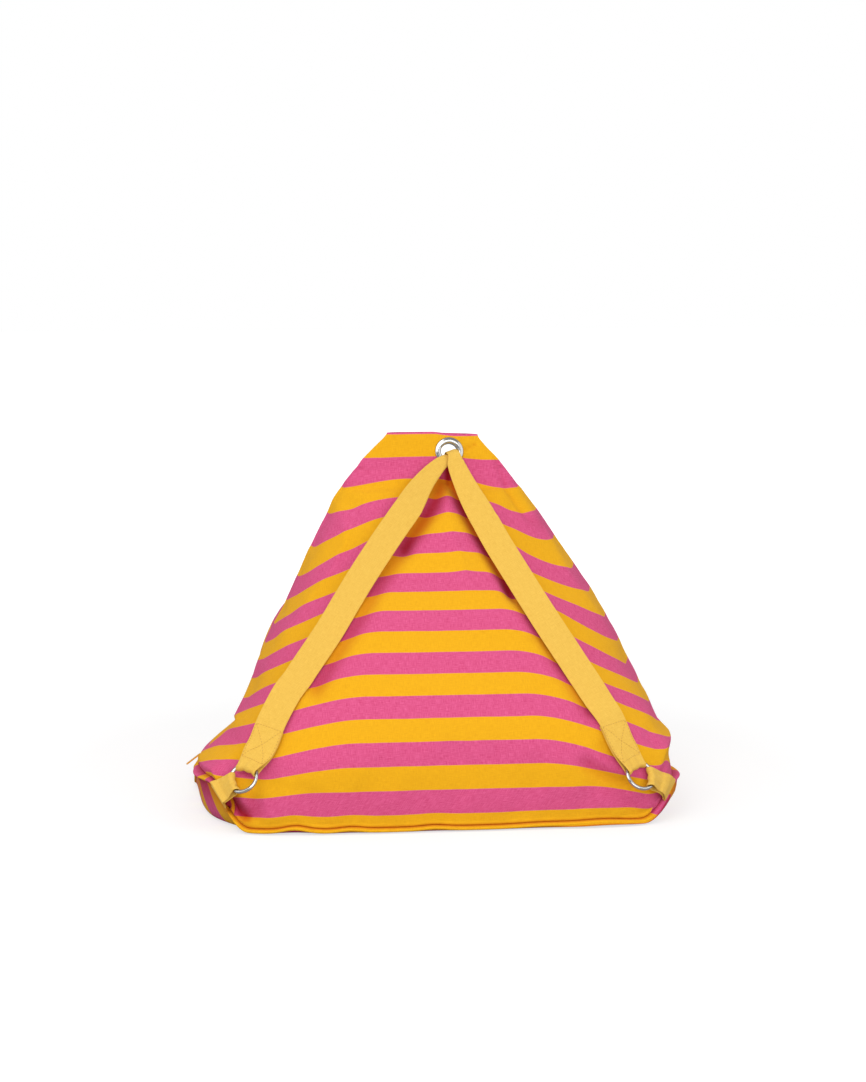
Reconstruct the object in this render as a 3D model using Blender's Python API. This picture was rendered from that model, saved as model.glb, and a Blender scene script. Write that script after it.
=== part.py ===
"""Filled striped pouf with a pinched top, an eyelet and two webbing shoulder straps.

Metres, +Z up, the strap side faces -Y. The origin is on the floor under the middle of the pouf.
"""
import math
from collections import namedtuple

import bmesh
import bpy
from mathutils import Matrix, Vector
from mathutils.bvhtree import BVHTree

# Driving sizes
GAP = 0.0004                # between two pieces that touch
COLUMNS_FRONT = 64          # facets round the front half of the cover
COLUMNS_BACK = 32           # facets round the back half
CORNER_CROWDING = 0.45      # how much closer the facets stand at the front corners
CROWDING_SHIFT = 0.03       # and how far from the corner's middle they stand closest
OUTLINE_STEPS = 720         # points of the exact outline that the facets are spaced along
FLAP_BASE = 0.4283          # height where the filled body ends and the flat flap begins
TOP = 0.4780                # height of the flap's top edge
WELT_REACH = 0.0030         # how far the rolled seam stands out
GROOVE_DEPTH = 0.0035       # stitched groove above it
WELT_HEIGHT = 0.0055
WELT_FOOT = 0.0012          # height of the welt's lower edge
GROOVE_ABOVE = 0.0012       # from the welt up to the bottom of the groove
EAR_REACH = 0.0080          # the seam's rolled ear at both front corners
EAR_AT = 0.64               # its place, from the middle of the front, 0, to the side, 1
EAR_SPREAD = 0.06
LIFT_LEFT = 0.0570          # how high the filling holds the front corners off the floor
LIFT_RIGHT = 0.0430
LIFT_FADE = 0.2000          # height at which that lift has died out
LIFT_RISES = (0.445, 0.565)     # where along the seam the lift begins and is full
LIFT_FALLS = (0.68, 1.00)       # and where it begins to fall and has gone
UNDERSIDE_STEPS = (0.35, 0.70, 1.00)    # rows from the floor patch out to the seam
UNDERSIDE_CURVE = 1.5       # above 1 the underside leaves the floor gently
FOLD_FADE = (0.008, 0.024)  # heights between which the folds reach their full depth

WEBBING_WIDTH = 0.0380
WEBBING_THICK = 0.0019
WIRE_RADIUS = 0.0024
WIRE_GAP = 0.0006           # between a ring's wire and the webbing turned round it
RING_RADIUS = 0.0186        # to the middle of the wire
HOLE_RADIUS = 0.0113
BARREL_RADIUS = 0.0125
FLANGE_RADIUS = 0.0195
FLANGE_HEIGHT = 0.0028
EYELET_AT = (0.0390, 0.4514)
FLAP_LEAN = math.radians(16.0)
FLAP_THICK = 0.0076
FLAP_FACE = -0.0095         # the flap's front face at its base
FLAP_EDGE = 0.28            # share of the thickness that its side edges round off
FLAP_HEM = 0.8              # share of the thickness left at the top
FLAP_TIP_DROP = 0.0015      # how much lower its top ends on the right
BACK_FLANGE_RADIUS = 0.0175
BACK_FLANGE_THICK = 0.0016
FLANGE_EDGE = 0.0004        # height of the flanges' outer edges

# Sections of the cover, bottom to top: its reach to each side at one height, and how square it is
Section = namedtuple("Section", "rise front back left right square_l square_r square_back")
SECTIONS = [
    Section(0.000, 0.2990, 0.2900, 0.3100, 0.3130, 6.0, 7.6, 2.7),
    Section(0.020, 0.3005, 0.2950, 0.3150, 0.3120, 6.3, 7.6, 2.7),
    Section(0.035, 0.2998, 0.2950, 0.3000, 0.3125, 6.2, 7.0, 2.7),
    Section(0.052, 0.2970, 0.2930, 0.2850, 0.3135, 6.0, 6.4, 2.7),
    Section(0.080, 0.2920, 0.2880, 0.2650, 0.3040, 5.2, 5.2, 2.7),
    Section(0.105, 0.2800, 0.2780, 0.2500, 0.2970, 4.6, 4.6, 2.7),
    Section(0.135, 0.2630, 0.2630, 0.2360, 0.2880, 4.0, 4.0, 2.7),
    Section(0.162, 0.2440, 0.2460, 0.2257, 0.2800, 3.6, 3.6, 2.7),
    Section(0.195, 0.2180, 0.2220, 0.2155, 0.2640, 3.2, 3.2, 2.7),
    Section(0.226, 0.1930, 0.1980, 0.2020, 0.2530, 3.0, 3.0, 2.7),
    Section(0.260, 0.1650, 0.1690, 0.1822, 0.2380, 2.8, 2.8, 2.7),
    Section(0.295, 0.1260, 0.1380, 0.1660, 0.2140, 2.7, 2.7, 2.7),
    Section(0.331, 0.0930, 0.1050, 0.1490, 0.1890, 2.6, 2.6, 2.6),
    Section(0.369, 0.0600, 0.0700, 0.1290, 0.1630, 2.6, 2.6, 2.6),
    Section(0.405, 0.0240, 0.0300, 0.1092, 0.1340, 2.6, 2.6, 2.6),
    Section(0.4283, 0.0100, 0.0030, 0.0905, 0.1160, 3.0, 3.0, 3.0),
]
# Heights of the facets' rows up the walls
WALL_RISES = [0.0105, 0.020, 0.035, 0.052, 0.066, 0.080, 0.0925, 0.105, 0.120, 0.135, 0.149, 0.162,
              0.178, 0.195, 0.210, 0.226, 0.243, 0.260, 0.277, 0.295, 0.313, 0.331, 0.350, 0.369,
              0.387, 0.405, 0.417, FLAP_BASE]
# Outline of the flat patch that stands on the floor
FLOOR_PATCH = Section(0.0, 0.2925, 0.2800, 0.2990, 0.3000, 4.0, 4.0, 2.6)

# The flap's reach to each side, at shares of its height
FlapRow = namedtuple("FlapRow", "share left right")
FLAP_ROWS = [
    FlapRow(0.00, 0.0905, 0.1160),
    FlapRow(0.28, 0.0800, 0.1060),
    FlapRow(0.62, 0.0620, 0.0905),
    FlapRow(0.88, 0.0478, 0.0803),
    FlapRow(1.00, 0.0440, 0.0787),
]

# Folds pressed into the cloth: centre across and up, half sizes along and across, turn, depth
Fold = namedtuple("Fold", "across up long wide turn depth")
FOLDS = [
    Fold(-0.262, 0.030, 0.026, 0.012, 75.0, 0.0120),
    Fold(-0.235, 0.045, 0.040, 0.014, 40.0, 0.0040),
    Fold(0.265, 0.075, 0.050, 0.016, 60.0, 0.0045),
    Fold(0.235, 0.022, 0.045, 0.014, 20.0, 0.0040),
    Fold(-0.100, 0.335, 0.060, 0.018, 62.0, 0.0060),
    Fold(0.120, 0.330, 0.060, 0.018, -58.0, 0.0060),
    Fold(0.010, 0.395, 0.035, 0.016, 85.0, 0.0040),
]

# Straps, top to ring: the middle of the webbing across and up, and how far in front of the cloth
Stop = namedtuple("Stop", "across up off width thick")
LEFT_STOPS = [
    Stop(0.0010, 0.4099, 0.0182, 0.0300, 0.0024),
    Stop(-0.0205, 0.3863, 0.0217, 0.0370, 0.0020),
    Stop(-0.0557, 0.3430, 0.0190, 0.0380, 0.0019),
    Stop(-0.0958, 0.2892, 0.0175, 0.0380, 0.0019),
    Stop(-0.1350, 0.2363, 0.0127, 0.0380, 0.0019),
    Stop(-0.1730, 0.1831, 0.0106, 0.0380, 0.0019),
    Stop(-0.2100, 0.1331, 0.0116, 0.0380, 0.0019),
    Stop(-0.2270, 0.1071, 0.0135, 0.0380, 0.0019),
]
RIGHT_STOPS = [
    Stop(0.0551, 0.4161, 0.0216, 0.0240, 0.0030),
    Stop(0.0691, 0.3844, 0.0263, 0.0330, 0.0022),
    Stop(0.0907, 0.3425, 0.0225, 0.0370, 0.0019),
    Stop(0.1146, 0.3013, 0.0204, 0.0380, 0.0019),
    Stop(0.1444, 0.2506, 0.0141, 0.0380, 0.0019),
    Stop(0.1855, 0.1850, 0.0104, 0.0380, 0.0019),
    Stop(0.2196, 0.1281, 0.0112, 0.0380, 0.0019),
    Stop(0.2298, 0.1041, 0.0125, 0.0380, 0.0019),
]
# The webbing gathered in the eyelet, from behind to the front: out along its axis, across and up
# from its middle, and how far its right edge is turned up
Thread = namedtuple("Thread", "out across up width thick roll")
LEFT_THREAD = [
    Thread(-0.0175, 0.0000, -0.0160, 0.0130, 0.0034, 0.0),
    Thread(-0.0155, -0.0006, -0.0090, 0.0100, 0.0032, 4.0),
    Thread(-0.0095, -0.0012, -0.0068, 0.0084, 0.0032, 10.0),
    Thread(0.0030, -0.0016, -0.0068, 0.0084, 0.0032, 6.0),
    Thread(0.0078, -0.0052, -0.0100, 0.0120, 0.0032, -12.0),
    Thread(0.0102, -0.0122, -0.0168, 0.0190, 0.0028, -28.0),
]
RIGHT_THREAD = [
    Thread(-0.0265, 0.0020, -0.0160, 0.0170, 0.0036, 5.0),
    Thread(-0.0235, 0.0018, -0.0060, 0.0155, 0.0036, 10.0),
    Thread(-0.0140, 0.0012, 0.0002, 0.0145, 0.0036, 18.0),
    Thread(0.0030, 0.0012, 0.0002, 0.0145, 0.0036, 20.0),
    Thread(0.0085, 0.0028, -0.0014, 0.0155, 0.0036, 20.0),
    Thread(0.0135, 0.0052, -0.0080, 0.0180, 0.0036, 12.0),
    Thread(0.0150, 0.0075, -0.0180, 0.0200, 0.0034, 4.0),
]
BIGHT_DROP = 0.0900         # length of the loop that hangs behind the flap
BIGHT_OFF = 0.0055          # from the cloth to the loop's inner leg
BIGHT_SPACE = 0.0095        # between its two legs
BIGHT_SECTIONS = [(0.0370, 0.0019), (0.0340, 0.0021), (0.0240, 0.0028)]    # width and thickness
BIGHT_RISE = 0.0200         # between those sections, foot to top
BIGHT_SPREAD = 0.0020       # how much further off the cloth each one stands
BIGHT_TURN = (14.0, 50.0, 90.0, 135.0)      # places round the fold at its foot, in degrees
STRAP_STEP = 0.0100         # length of a facet along the straps
STRAP_FREE_BELOW = 0.4133   # under this height the straps are kept off the cloth
RETURN_LENGTH = 0.0600      # the webbing turned back behind each sewn box
STITCH_SPACE = 0.0008       # between the two sewn layers
CLOTH_CLEARANCE = 0.0021    # between hanging webbing and the cover
TAB_GAP = 0.0018            # under each layer of a tab
TAB_STEPS = 9               # sections of each layer of a tab
TAB_FLATTENS = 1.2          # above 1 a tab lies flat before it reaches the seam
LOOK_BACK = 0.0200          # how far out the search for the cloth under a tab begins
PUCKER_LENGTH = 0.0220      # over which the webbing draws in towards its ring
THIN_EDGE = 0.45            # share of its thickness left at the webbing's edges
RING_TURN_STEPS = 6         # facets of the webbing round the wire

# Rings: the middle, the way each one faces, and how wide the webbing is on its wire
Ring = namedtuple("Ring", "centre facing strap_width tab_width")
RINGS = {
    "left": Ring((-0.2521, -0.2820, 0.0712), (-0.417, -0.676, 0.608), 0.0320, 0.0245),
    "right": Ring((0.2526, -0.2900, 0.0639), (0.290, -0.725, 0.620), 0.0310, 0.0245),
}
# Where each tab is sewn into the base seam, the way the seam runs there, and the way out of it
TabRoot = namedtuple("TabRoot", "place seam out")
TAB_ROOTS = {
    "left": TabRoot((-0.2840, -0.2660, 0.0440), (0.473, -0.500, -0.622), (-0.52, -0.76, 0.38)),
    "right": TabRoot((0.2970, -0.2620, 0.0345), (-0.540, -0.640, -0.550), (0.58, -0.74, 0.34)),
}

# Zip at the foot of the left side: middle, size and lean of the slider and of its pull
ZipPiece = namedtuple("ZipPiece", "place size lean round_off")
ZIP_SLIDER = ZipPiece((-0.2988, 0.0, 0.0420), (0.0026, 0.0070, 0.0100), 20.0, 0.0008)
ZIP_PULL = ZipPiece((-0.3120, 0.0, 0.0303), (0.0245, 0.0050, 0.0018), -37.0, 0.0006)


def clear_scene():
    for item in list(bpy.data.objects):
        bpy.data.objects.remove(item, do_unlink=True)


def finish(name, color, roughness, metallic=0.0):
    material = bpy.data.materials.new(name)
    material.use_nodes = True
    shader = material.node_tree.nodes["Principled BSDF"]
    shader.inputs["Base Color"].default_value = (*color, 1.0)
    shader.inputs["Roughness"].default_value = roughness
    shader.inputs["Metallic"].default_value = metallic
    return material


def add_object(name, bm, material, smooth_angle=40.0):
    """Turn a bmesh into the one named object of a sub-part."""
    bmesh.ops.recalc_face_normals(bm, faces=bm.faces)
    mesh = bpy.data.meshes.new(name)
    bm.to_mesh(mesh)
    bm.free()
    mesh.materials.append(material)
    mesh.shade_smooth()
    mesh.set_sharp_from_angle(angle=math.radians(smooth_angle))
    item = bpy.data.objects.new(name, mesh)
    bpy.context.scene.collection.objects.link(item)
    return item


def ease(value):
    value = min(max(value, 0.0), 1.0)
    return value * value * (3.0 - 2.0 * value)


def ease_between(value, limits):
    """Smoothly from 0 at the first limit to 1 at the second."""
    return ease((value - limits[0]) / (limits[1] - limits[0]))


def loft(rings):
    """Join closed loops of points, all of one length, with quads, and close both ends."""
    bm = bmesh.new()
    rows = [[bm.verts.new(point) for point in ring] for ring in rings]
    count = len(rows[0])
    for lower, upper in zip(rows, rows[1:]):
        for i in range(count):
            j = (i + 1) % count
            bm.faces.new((lower[i], lower[j], upper[j], upper[i]))
    bm.faces.new(list(reversed(rows[0])))
    bm.faces.new(rows[-1])
    return bm


def between_sections(rise):
    """Smooth cubic between the rows of the table, so that the profile has no kinks."""
    rows = SECTIONS
    rise = min(max(rise, rows[0].rise), rows[-1].rise)
    k = max(i for i in range(len(rows) - 1) if rows[i].rise <= rise)
    span = rows[k + 1].rise - rows[k].rise
    t = (rise - rows[k].rise) / span

    def slope(i, field):
        a = rows[max(i - 1, 0)]
        b = rows[min(i + 1, len(rows) - 1)]
        return (getattr(b, field) - getattr(a, field)) / (b.rise - a.rise)

    values = [rise]
    for field in Section._fields[1:]:
        p = getattr(rows[k], field)
        q = getattr(rows[k + 1], field)
        m = slope(k, field) * span
        n = slope(k + 1, field) * span
        values.append((1 + 2 * t) * (1 - t) ** 2 * p + t * (1 - t) ** 2 * m
                      + t * t * (3 - 2 * t) * q + t * t * (t - 1) * n)
    return Section(*values)


def outline(section):
    """Rounded square through the section's reaches, from the middle of the front round by +X."""
    middle = (section.right - section.left) / 2
    half = (section.right + section.left) / 2
    points = []
    for i in range(OUTLINE_STEPS):
        angle = 2 * math.pi * i / OUTLINE_STEPS
        s, c = math.sin(angle), math.cos(angle)
        if c > 0:
            square = section.square_r if s > 0 else section.square_l
            reach, power = section.front, 2 / square
        else:
            reach, power = section.back, 2 / section.square_back
        x = middle + half * math.copysign(abs(s) ** power, s)
        y = -reach * math.copysign(abs(c) ** power, c)
        points.append((x, y))
    return points


Spot = namedtuple("Spot", "x y part side")


def crowded(step):
    """Uneven steps from the middle of the front to a side, closest at the corner."""
    full = 2 * math.pi
    wave = math.sin(full * (step - CROWDING_SHIFT)) + math.sin(full * CROWDING_SHIFT)
    return step + CORNER_CROWDING * wave / full


def spots(section):
    """Even steps along the outline. part is 0 at the middle of the front or back, 1 at a side."""
    points = outline(section)
    points.append(points[0])
    lengths = [0.0]
    for a, b in zip(points, points[1:]):
        lengths.append(lengths[-1] + math.dist(a, b))
    quarter = [i * (len(points) - 1) // 4 for i in range(5)]
    found = []
    for q in range(4):
        columns = (COLUMNS_FRONT if q in (0, 3) else COLUMNS_BACK) // 2
        start, end = lengths[quarter[q]], lengths[quarter[q + 1]]
        k = quarter[q]
        for i in range(columns):
            step = i / columns
            if q == 0:
                step = crowded(step)
            elif q == 3:
                step = 1 - crowded(1 - step)
            want = start + (end - start) * step
            while lengths[k + 1] < want:
                k += 1
            t = (want - lengths[k]) / max(lengths[k + 1] - lengths[k], 1e-9)
            x = points[k][0] + (points[k + 1][0] - points[k][0]) * t
            y = points[k][1] + (points[k + 1][1] - points[k][1]) * t
            part = 1 - step if q in (1, 3) else step
            found.append(Spot(x, y, part, 1 if q < 2 else -1))
    return found


def corner_weight(spot):
    """1 at a front corner of the base, 0 at the middle of the front, the sides and the back."""
    if spot.y > 0:
        return 0.0
    return ease_between(spot.part, LIFT_RISES) * (1 - ease_between(spot.part, LIFT_FALLS))


def corner_lift(spot, rise):
    lift = LIFT_RIGHT if spot.side > 0 else LIFT_LEFT
    return lift * corner_weight(spot) * (1 - ease(rise / LIFT_FADE))


def fold_depth(x, z, rise):
    """How far the folds press the front cloth in, fading out towards the base seam."""
    total = 0.0
    for fold in FOLDS:
        turn = math.radians(fold.turn)
        dx, dz = x - fold.across, z - fold.up
        u = (dx * math.cos(turn) + dz * math.sin(turn)) / fold.long
        v = (-dx * math.sin(turn) + dz * math.cos(turn)) / fold.wide
        total += fold.depth * math.exp(-u * u - v * v)
    return total * ease_between(rise, FOLD_FADE)


def seam_ring(reach, height):
    """A ring of the base seam, moved out by reach and up by height."""
    ring = []
    for spot in spots(SECTIONS[0]):
        if reach > 0 and spot.y < 0:
            ear = EAR_REACH * math.exp(-((spot.part - EAR_AT) / EAR_SPREAD) ** 2)
        else:
            ear = 0.0
        out = Vector((spot.x, spot.y)).normalized() * (reach + ear)
        ring.append((spot.x + out.x, spot.y + out.y, height + corner_lift(spot, 0.0)))
    return ring


def floor_rings():
    """From the flat patch on the floor, up the lifted underside of the corners to the seam."""
    patch = spots(FLOOR_PATCH)
    seam = seam_ring(WELT_REACH * 0.4, WELT_FOOT)
    rings = [[(spot.x, spot.y, 0.0) for spot in patch]]
    for t in UNDERSIDE_STEPS:
        ring = []
        for spot, edge in zip(patch, seam):
            rise = t ** UNDERSIDE_CURVE
            ring.append((spot.x + (edge[0] - spot.x) * t, spot.y + (edge[1] - spot.y) * t,
                         edge[2] * rise))
        rings.append(ring)
    return rings


def wall_rings():
    rings = []
    for rise in WALL_RISES:
        ring = []
        for spot in spots(between_sections(rise)):
            z = rise + corner_lift(spot, rise)
            press = fold_depth(spot.x, z, rise) if spot.y < 0 else 0.0
            ring.append((spot.x, spot.y + press, z))
        rings.append(ring)
    return rings


def make_body(material):
    rings = floor_rings()
    rings.append(seam_ring(WELT_REACH, WELT_HEIGHT * 0.5))
    rings.append(seam_ring(WELT_REACH * 0.5, WELT_HEIGHT))
    rings.append(seam_ring(-GROOVE_DEPTH, WELT_HEIGHT + GROOVE_ABOVE))
    rings += wall_rings()
    return add_object("cover_body", loft(rings), material, 50.0)


def flap_frame():
    """Axes on the flap's front face at the eyelet: across, up the face, and out of it."""
    across = Vector((1, 0, 0))
    up = Vector((0, math.sin(FLAP_LEAN), math.cos(FLAP_LEAN)))
    out = Vector((0, -math.cos(FLAP_LEAN), math.sin(FLAP_LEAN)))
    rise = EYELET_AT[1] - FLAP_BASE
    centre = Vector((EYELET_AT[0], FLAP_FACE + rise * math.tan(FLAP_LEAN), EYELET_AT[1]))
    return centre, across, up, out


def place_at(bm, centre, across, up, out):
    """Move a shape made at the origin to centre, with its X, Y and Z along the three axes."""
    place = Matrix((across, up, out)).transposed().to_4x4()
    place.translation = centre
    bmesh.ops.transform(bm, matrix=place, verts=bm.verts)


def make_flap(material):
    """The two cloth layers pinched flat, leaning back, with the hole that the eyelet fills."""
    start = FLAP_BASE + GAP
    centre, across, up, out = flap_frame()
    rings = []
    for row in FLAP_ROWS:
        at_top = row.share == 1.0
        z = start + (TOP - start) * row.share
        z_right = z - (FLAP_TIP_DROP if at_top else 0.0)
        front = centre.y + (z - centre.z) * math.tan(FLAP_LEAN)
        thick = FLAP_THICK * (FLAP_HEM if at_top else 1.0)
        back = front + thick
        edge = thick * FLAP_EDGE
        ring = []
        for x, side, height in ((-row.left, -1, z), (row.right, 1, z_right)):
            corners = [(x, back - edge, height), (x, front + edge, height),
                       (x - side * edge, front, height)]
            corners.insert(0, (x - side * edge, back, height))
            ring += corners if side < 0 else reversed(corners)
        rings.append(ring)
    flap = add_object("top_flap", loft(rings), material)

    cutter_mesh = bmesh.new()
    bmesh.ops.create_cone(cutter_mesh, cap_ends=True, segments=32, radius1=BARREL_RADIUS + GAP,
                          radius2=BARREL_RADIUS + GAP, depth=8 * FLAP_THICK)
    place_at(cutter_mesh, centre, across, up, out)
    cutter = add_object("eyelet_hole_cutter", cutter_mesh, material)
    cutter.hide_render = True
    cutter.display_type = "WIRE"
    hole = flap.modifiers.new("eyelet_hole", "BOOLEAN")
    hole.operation = "DIFFERENCE"
    hole.object = cutter
    return flap


def make_eyelet(material):
    """Rolled flange in front, a smaller one behind, and the barrel that joins them."""
    front = GAP
    back = -(FLAP_THICK * math.cos(FLAP_LEAN) + GAP)
    rim = (FLANGE_RADIUS - HOLE_RADIUS) / 2
    middle = (FLANGE_RADIUS + HOLE_RADIUS) / 2
    steps = 7
    profile = [(BARREL_RADIUS, back), (BARREL_RADIUS, front), (FLANGE_RADIUS - FLANGE_EDGE, front)]
    for i in range(steps + 1):
        angle = math.pi * i / steps
        profile.append((middle + rim * math.cos(angle),
                        front + FLANGE_EDGE + FLANGE_HEIGHT * math.sin(angle)))
    profile += [(HOLE_RADIUS, back - FLANGE_EDGE),
                (HOLE_RADIUS + BACK_FLANGE_THICK, back - BACK_FLANGE_THICK),
                (BACK_FLANGE_RADIUS - BACK_FLANGE_THICK / 2, back - BACK_FLANGE_THICK),
                (BACK_FLANGE_RADIUS, back - BACK_FLANGE_THICK / 2),
                (BACK_FLANGE_RADIUS, back)]
    bm = bmesh.new()
    verts = [bm.verts.new((radius, 0, height)) for radius, height in profile]
    edges = [bm.edges.new((verts[i], verts[(i + 1) % len(verts)])) for i in range(len(verts))]
    bmesh.ops.spin(bm, geom=verts + edges, axis=(0, 0, 1), cent=(0, 0, 0), angle=2 * math.pi,
                   steps=36, use_merge=True)
    bmesh.ops.remove_doubles(bm, verts=bm.verts, dist=0.00001)
    place_at(bm, *flap_frame())
    return add_object("eyelet", bm, material)


def ring_frame(side):
    """Middle of the ring, the way it faces, and two directions in its plane."""
    ring = RINGS[side]
    centre = Vector(ring.centre)
    facing = Vector(ring.facing).normalized()
    level = facing.cross(Vector((0, 0, 1))).normalized()
    return centre, facing, level, facing.cross(level)


def make_ring(side, material):
    centre, facing, level, rise = ring_frame(side)
    bm = bmesh.new()
    circle = bmesh.ops.create_circle(bm, segments=12, radius=WIRE_RADIUS)["verts"]
    bmesh.ops.rotate(bm, verts=circle, cent=(0, 0, 0), matrix=Matrix.Rotation(math.pi / 2, 3, "X"))
    bmesh.ops.translate(bm, verts=circle, vec=(RING_RADIUS, 0, 0))
    bmesh.ops.spin(bm, geom=bm.verts[:] + bm.edges[:], axis=(0, 0, 1), cent=(0, 0, 0),
                   angle=2 * math.pi, steps=40, use_merge=True)
    bmesh.ops.remove_doubles(bm, verts=bm.verts, dist=0.00001)
    place_at(bm, centre, level, rise, facing)
    return add_object("ring_" + side, bm, material)


# One place along a strip of webbing, with its outer face along normal
Station = namedtuple("Station", "centre side normal width thick")
SHARES = [-1.0, -0.6, -0.2, 0.2, 0.6, 1.0]


def section_plan(width, thick):
    """Corners of a flat section with thinned edges: across the strip, and out of it."""
    lower = [(share * width / 2, -thick / 2 * (THIN_EDGE if abs(share) == 1.0 else 1.0))
             for share in SHARES]
    return lower + [(across, -out) for across, out in reversed(lower)]


def flat_section(station):
    return [station.centre + station.side * across + station.normal * out
            for across, out in section_plan(station.width, station.thick)]


def ring_section(side, radial, along, turn, width):
    """Section bent round the ring's wire. turn is 0 in front of the ring, and pi behind it."""
    centre, facing = ring_frame(side)[:2]
    points = []
    for across, out in section_plan(width, WEBBING_THICK):
        angle = across / RING_RADIUS
        reach = WIRE_RADIUS + WIRE_GAP + WEBBING_THICK / 2 + out
        outward = radial * math.cos(angle) + along * math.sin(angle)
        points.append(centre + outward * (RING_RADIUS - reach * math.sin(turn))
                      + facing * reach * math.cos(turn))
    return points


def ring_turns(side, goal, sideways, width):
    """Sections from the front of the wire, through the ring, to its back, for webbing from goal."""
    centre, facing = ring_frame(side)[:2]
    arrive = goal - centre
    radial = (arrive - facing * arrive.dot(facing)).normalized()
    along = facing.cross(radial).normalized()
    if along.dot(sideways) < 0:
        along = -along
    lean = math.atan2(-arrive.dot(facing), arrive.dot(radial) - RING_RADIUS)
    return [ring_section(side, radial, along, math.pi * i / RING_TURN_STEPS - lean, width)
            for i in range(RING_TURN_STEPS + 1)]


def middle_of(points):
    return sum(points, Vector()) / len(points)


def blend(first, second, share, centre):
    """Mix the shapes of two sections about their own middles, and place the mix at centre."""
    a, b = middle_of(first), middle_of(second)
    return [centre + (p - a).lerp(q - b, share) for p, q in zip(first, second)]


def curve_through(points, step):
    """Catmull-Rom curve through lists of numbers, in steps of about the given length."""
    found = []
    padded = [points[0]] + list(points) + [points[-1]]
    for a, b, c, d in zip(padded, padded[1:], padded[2:], padded[3:]):
        count = max(1, round(math.dist(b[:3], c[:3]) / step))
        for i in range(count):
            t = i / count
            found.append([0.5 * (2 * q + (r - p) * t + (2 * p - 5 * q + 4 * r - s) * t * t
                                 + (3 * q - p - 3 * r + s) * t ** 3)
                          for p, q, r, s in zip(a, b, c, d)])
    found.append(list(points[-1]))
    return found


def keep_off(tree, station, clearance):
    """Push a station out until its edges and its middle clear the cloth."""
    for _ in range(5):
        worst, push = 0.0, Vector((0, 0, 0))
        for share in SHARES:
            point = station.centre + station.side * station.width / 2 * share
            near, normal = tree.find_nearest(point)[:2]
            lack = clearance + station.thick / 2 - (point - near).dot(normal)
            if lack > worst:
                worst, push = lack, normal * lack
        station = station._replace(centre=station.centre + push)
    return station


def cloth_below(tree, point, out):
    """The cloth straight under a point, looking against out."""
    return tree.ray_cast(point + out * LOOK_BACK, -out, 1.5 * LOOK_BACK)[0]


def lay_over(tree, section, out, clearance):
    """Lift a section of webbing along out until all of its width clears the cloth."""
    last = len(SHARES) - 1
    lack = 0.0
    for i in range(last):
        for corner, other in ((i, i + 1), (len(section) - 1 - i, len(section) - 2 - i)):
            for share in (0.0, 0.33, 0.67, 1.0):
                point = section[corner].lerp(section[other], share)
                below = cloth_below(tree, point, out)
                if below is not None:
                    lack = max(lack, clearance - (point - below).dot(out))
    return [point + out * lack for point in section]


def squared_up(stations):
    """Even out the sides, then make each side and normal square to the run of the strip."""
    for _ in range(3):
        sides = [s.side for s in stations]
        last = len(sides) - 1
        stations = [s._replace(side=(sides[max(i - 1, 0)] + sides[i] * 2
                                     + sides[min(i + 1, last)]).normalized())
                    for i, s in enumerate(stations)]
    squared = []
    last = len(stations) - 1
    for i, s in enumerate(stations):
        run = stations[min(i + 1, last)].centre - stations[max(i - 1, 0)].centre
        run.normalize()
        side = (s.side - run * s.side.dot(run)).normalized()
        squared.append(s._replace(side=side, normal=side.cross(run).normalized()))
    return squared


def strap_rows(side, tree):
    """Places along the strap, from behind the flap to the last one before the ring."""
    thread, stops = (LEFT_THREAD, LEFT_STOPS) if side == "left" else (RIGHT_THREAD, RIGHT_STOPS)
    centre, across, up, out = flap_frame()
    rows = []
    foot = EYELET_AT[1] - BIGHT_DROP

    def hanging(rise, off):
        spot = tree.ray_cast(Vector((EYELET_AT[0], 1.0, rise)), Vector((0, -1, 0)))[0]
        return spot + Vector((0, off, 0))

    inner, outer = hanging(foot, BIGHT_OFF), hanging(foot, BIGHT_OFF + BIGHT_SPACE)
    if side == "left":
        # the turn at the foot of the loop belongs to the left leg
        down = (inner - hanging(foot + BIGHT_RISE, BIGHT_OFF)).normalized()
        half = (outer - inner) / 2
        drop = down * half.length
        for angle in BIGHT_TURN:
            turn = math.radians(angle)
            place = (inner + outer) / 2 + half * math.cos(turn) + drop * math.sin(turn)
            rows.append((*place, *BIGHT_SECTIONS[0], 0.0))
        off = BIGHT_OFF
    else:
        off = BIGHT_OFF + BIGHT_SPACE
    for i, section in enumerate(BIGHT_SECTIONS):
        rows.append((*hanging(foot + BIGHT_RISE * i, off + BIGHT_SPREAD * i), *section, 0.0))
    for place in thread:
        point = centre + out * place.out + across * place.across + up * place.up
        rows.append((*point, place.width, place.thick, place.roll))
    for stop in stops:
        behind = tree.ray_cast(Vector((stop.across, -1.0, stop.up)), Vector((0, 1, 0)))[0]
        rows.append((stop.across, behind.y - stop.off, stop.up, stop.width, stop.thick, None))
    return rows


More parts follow.
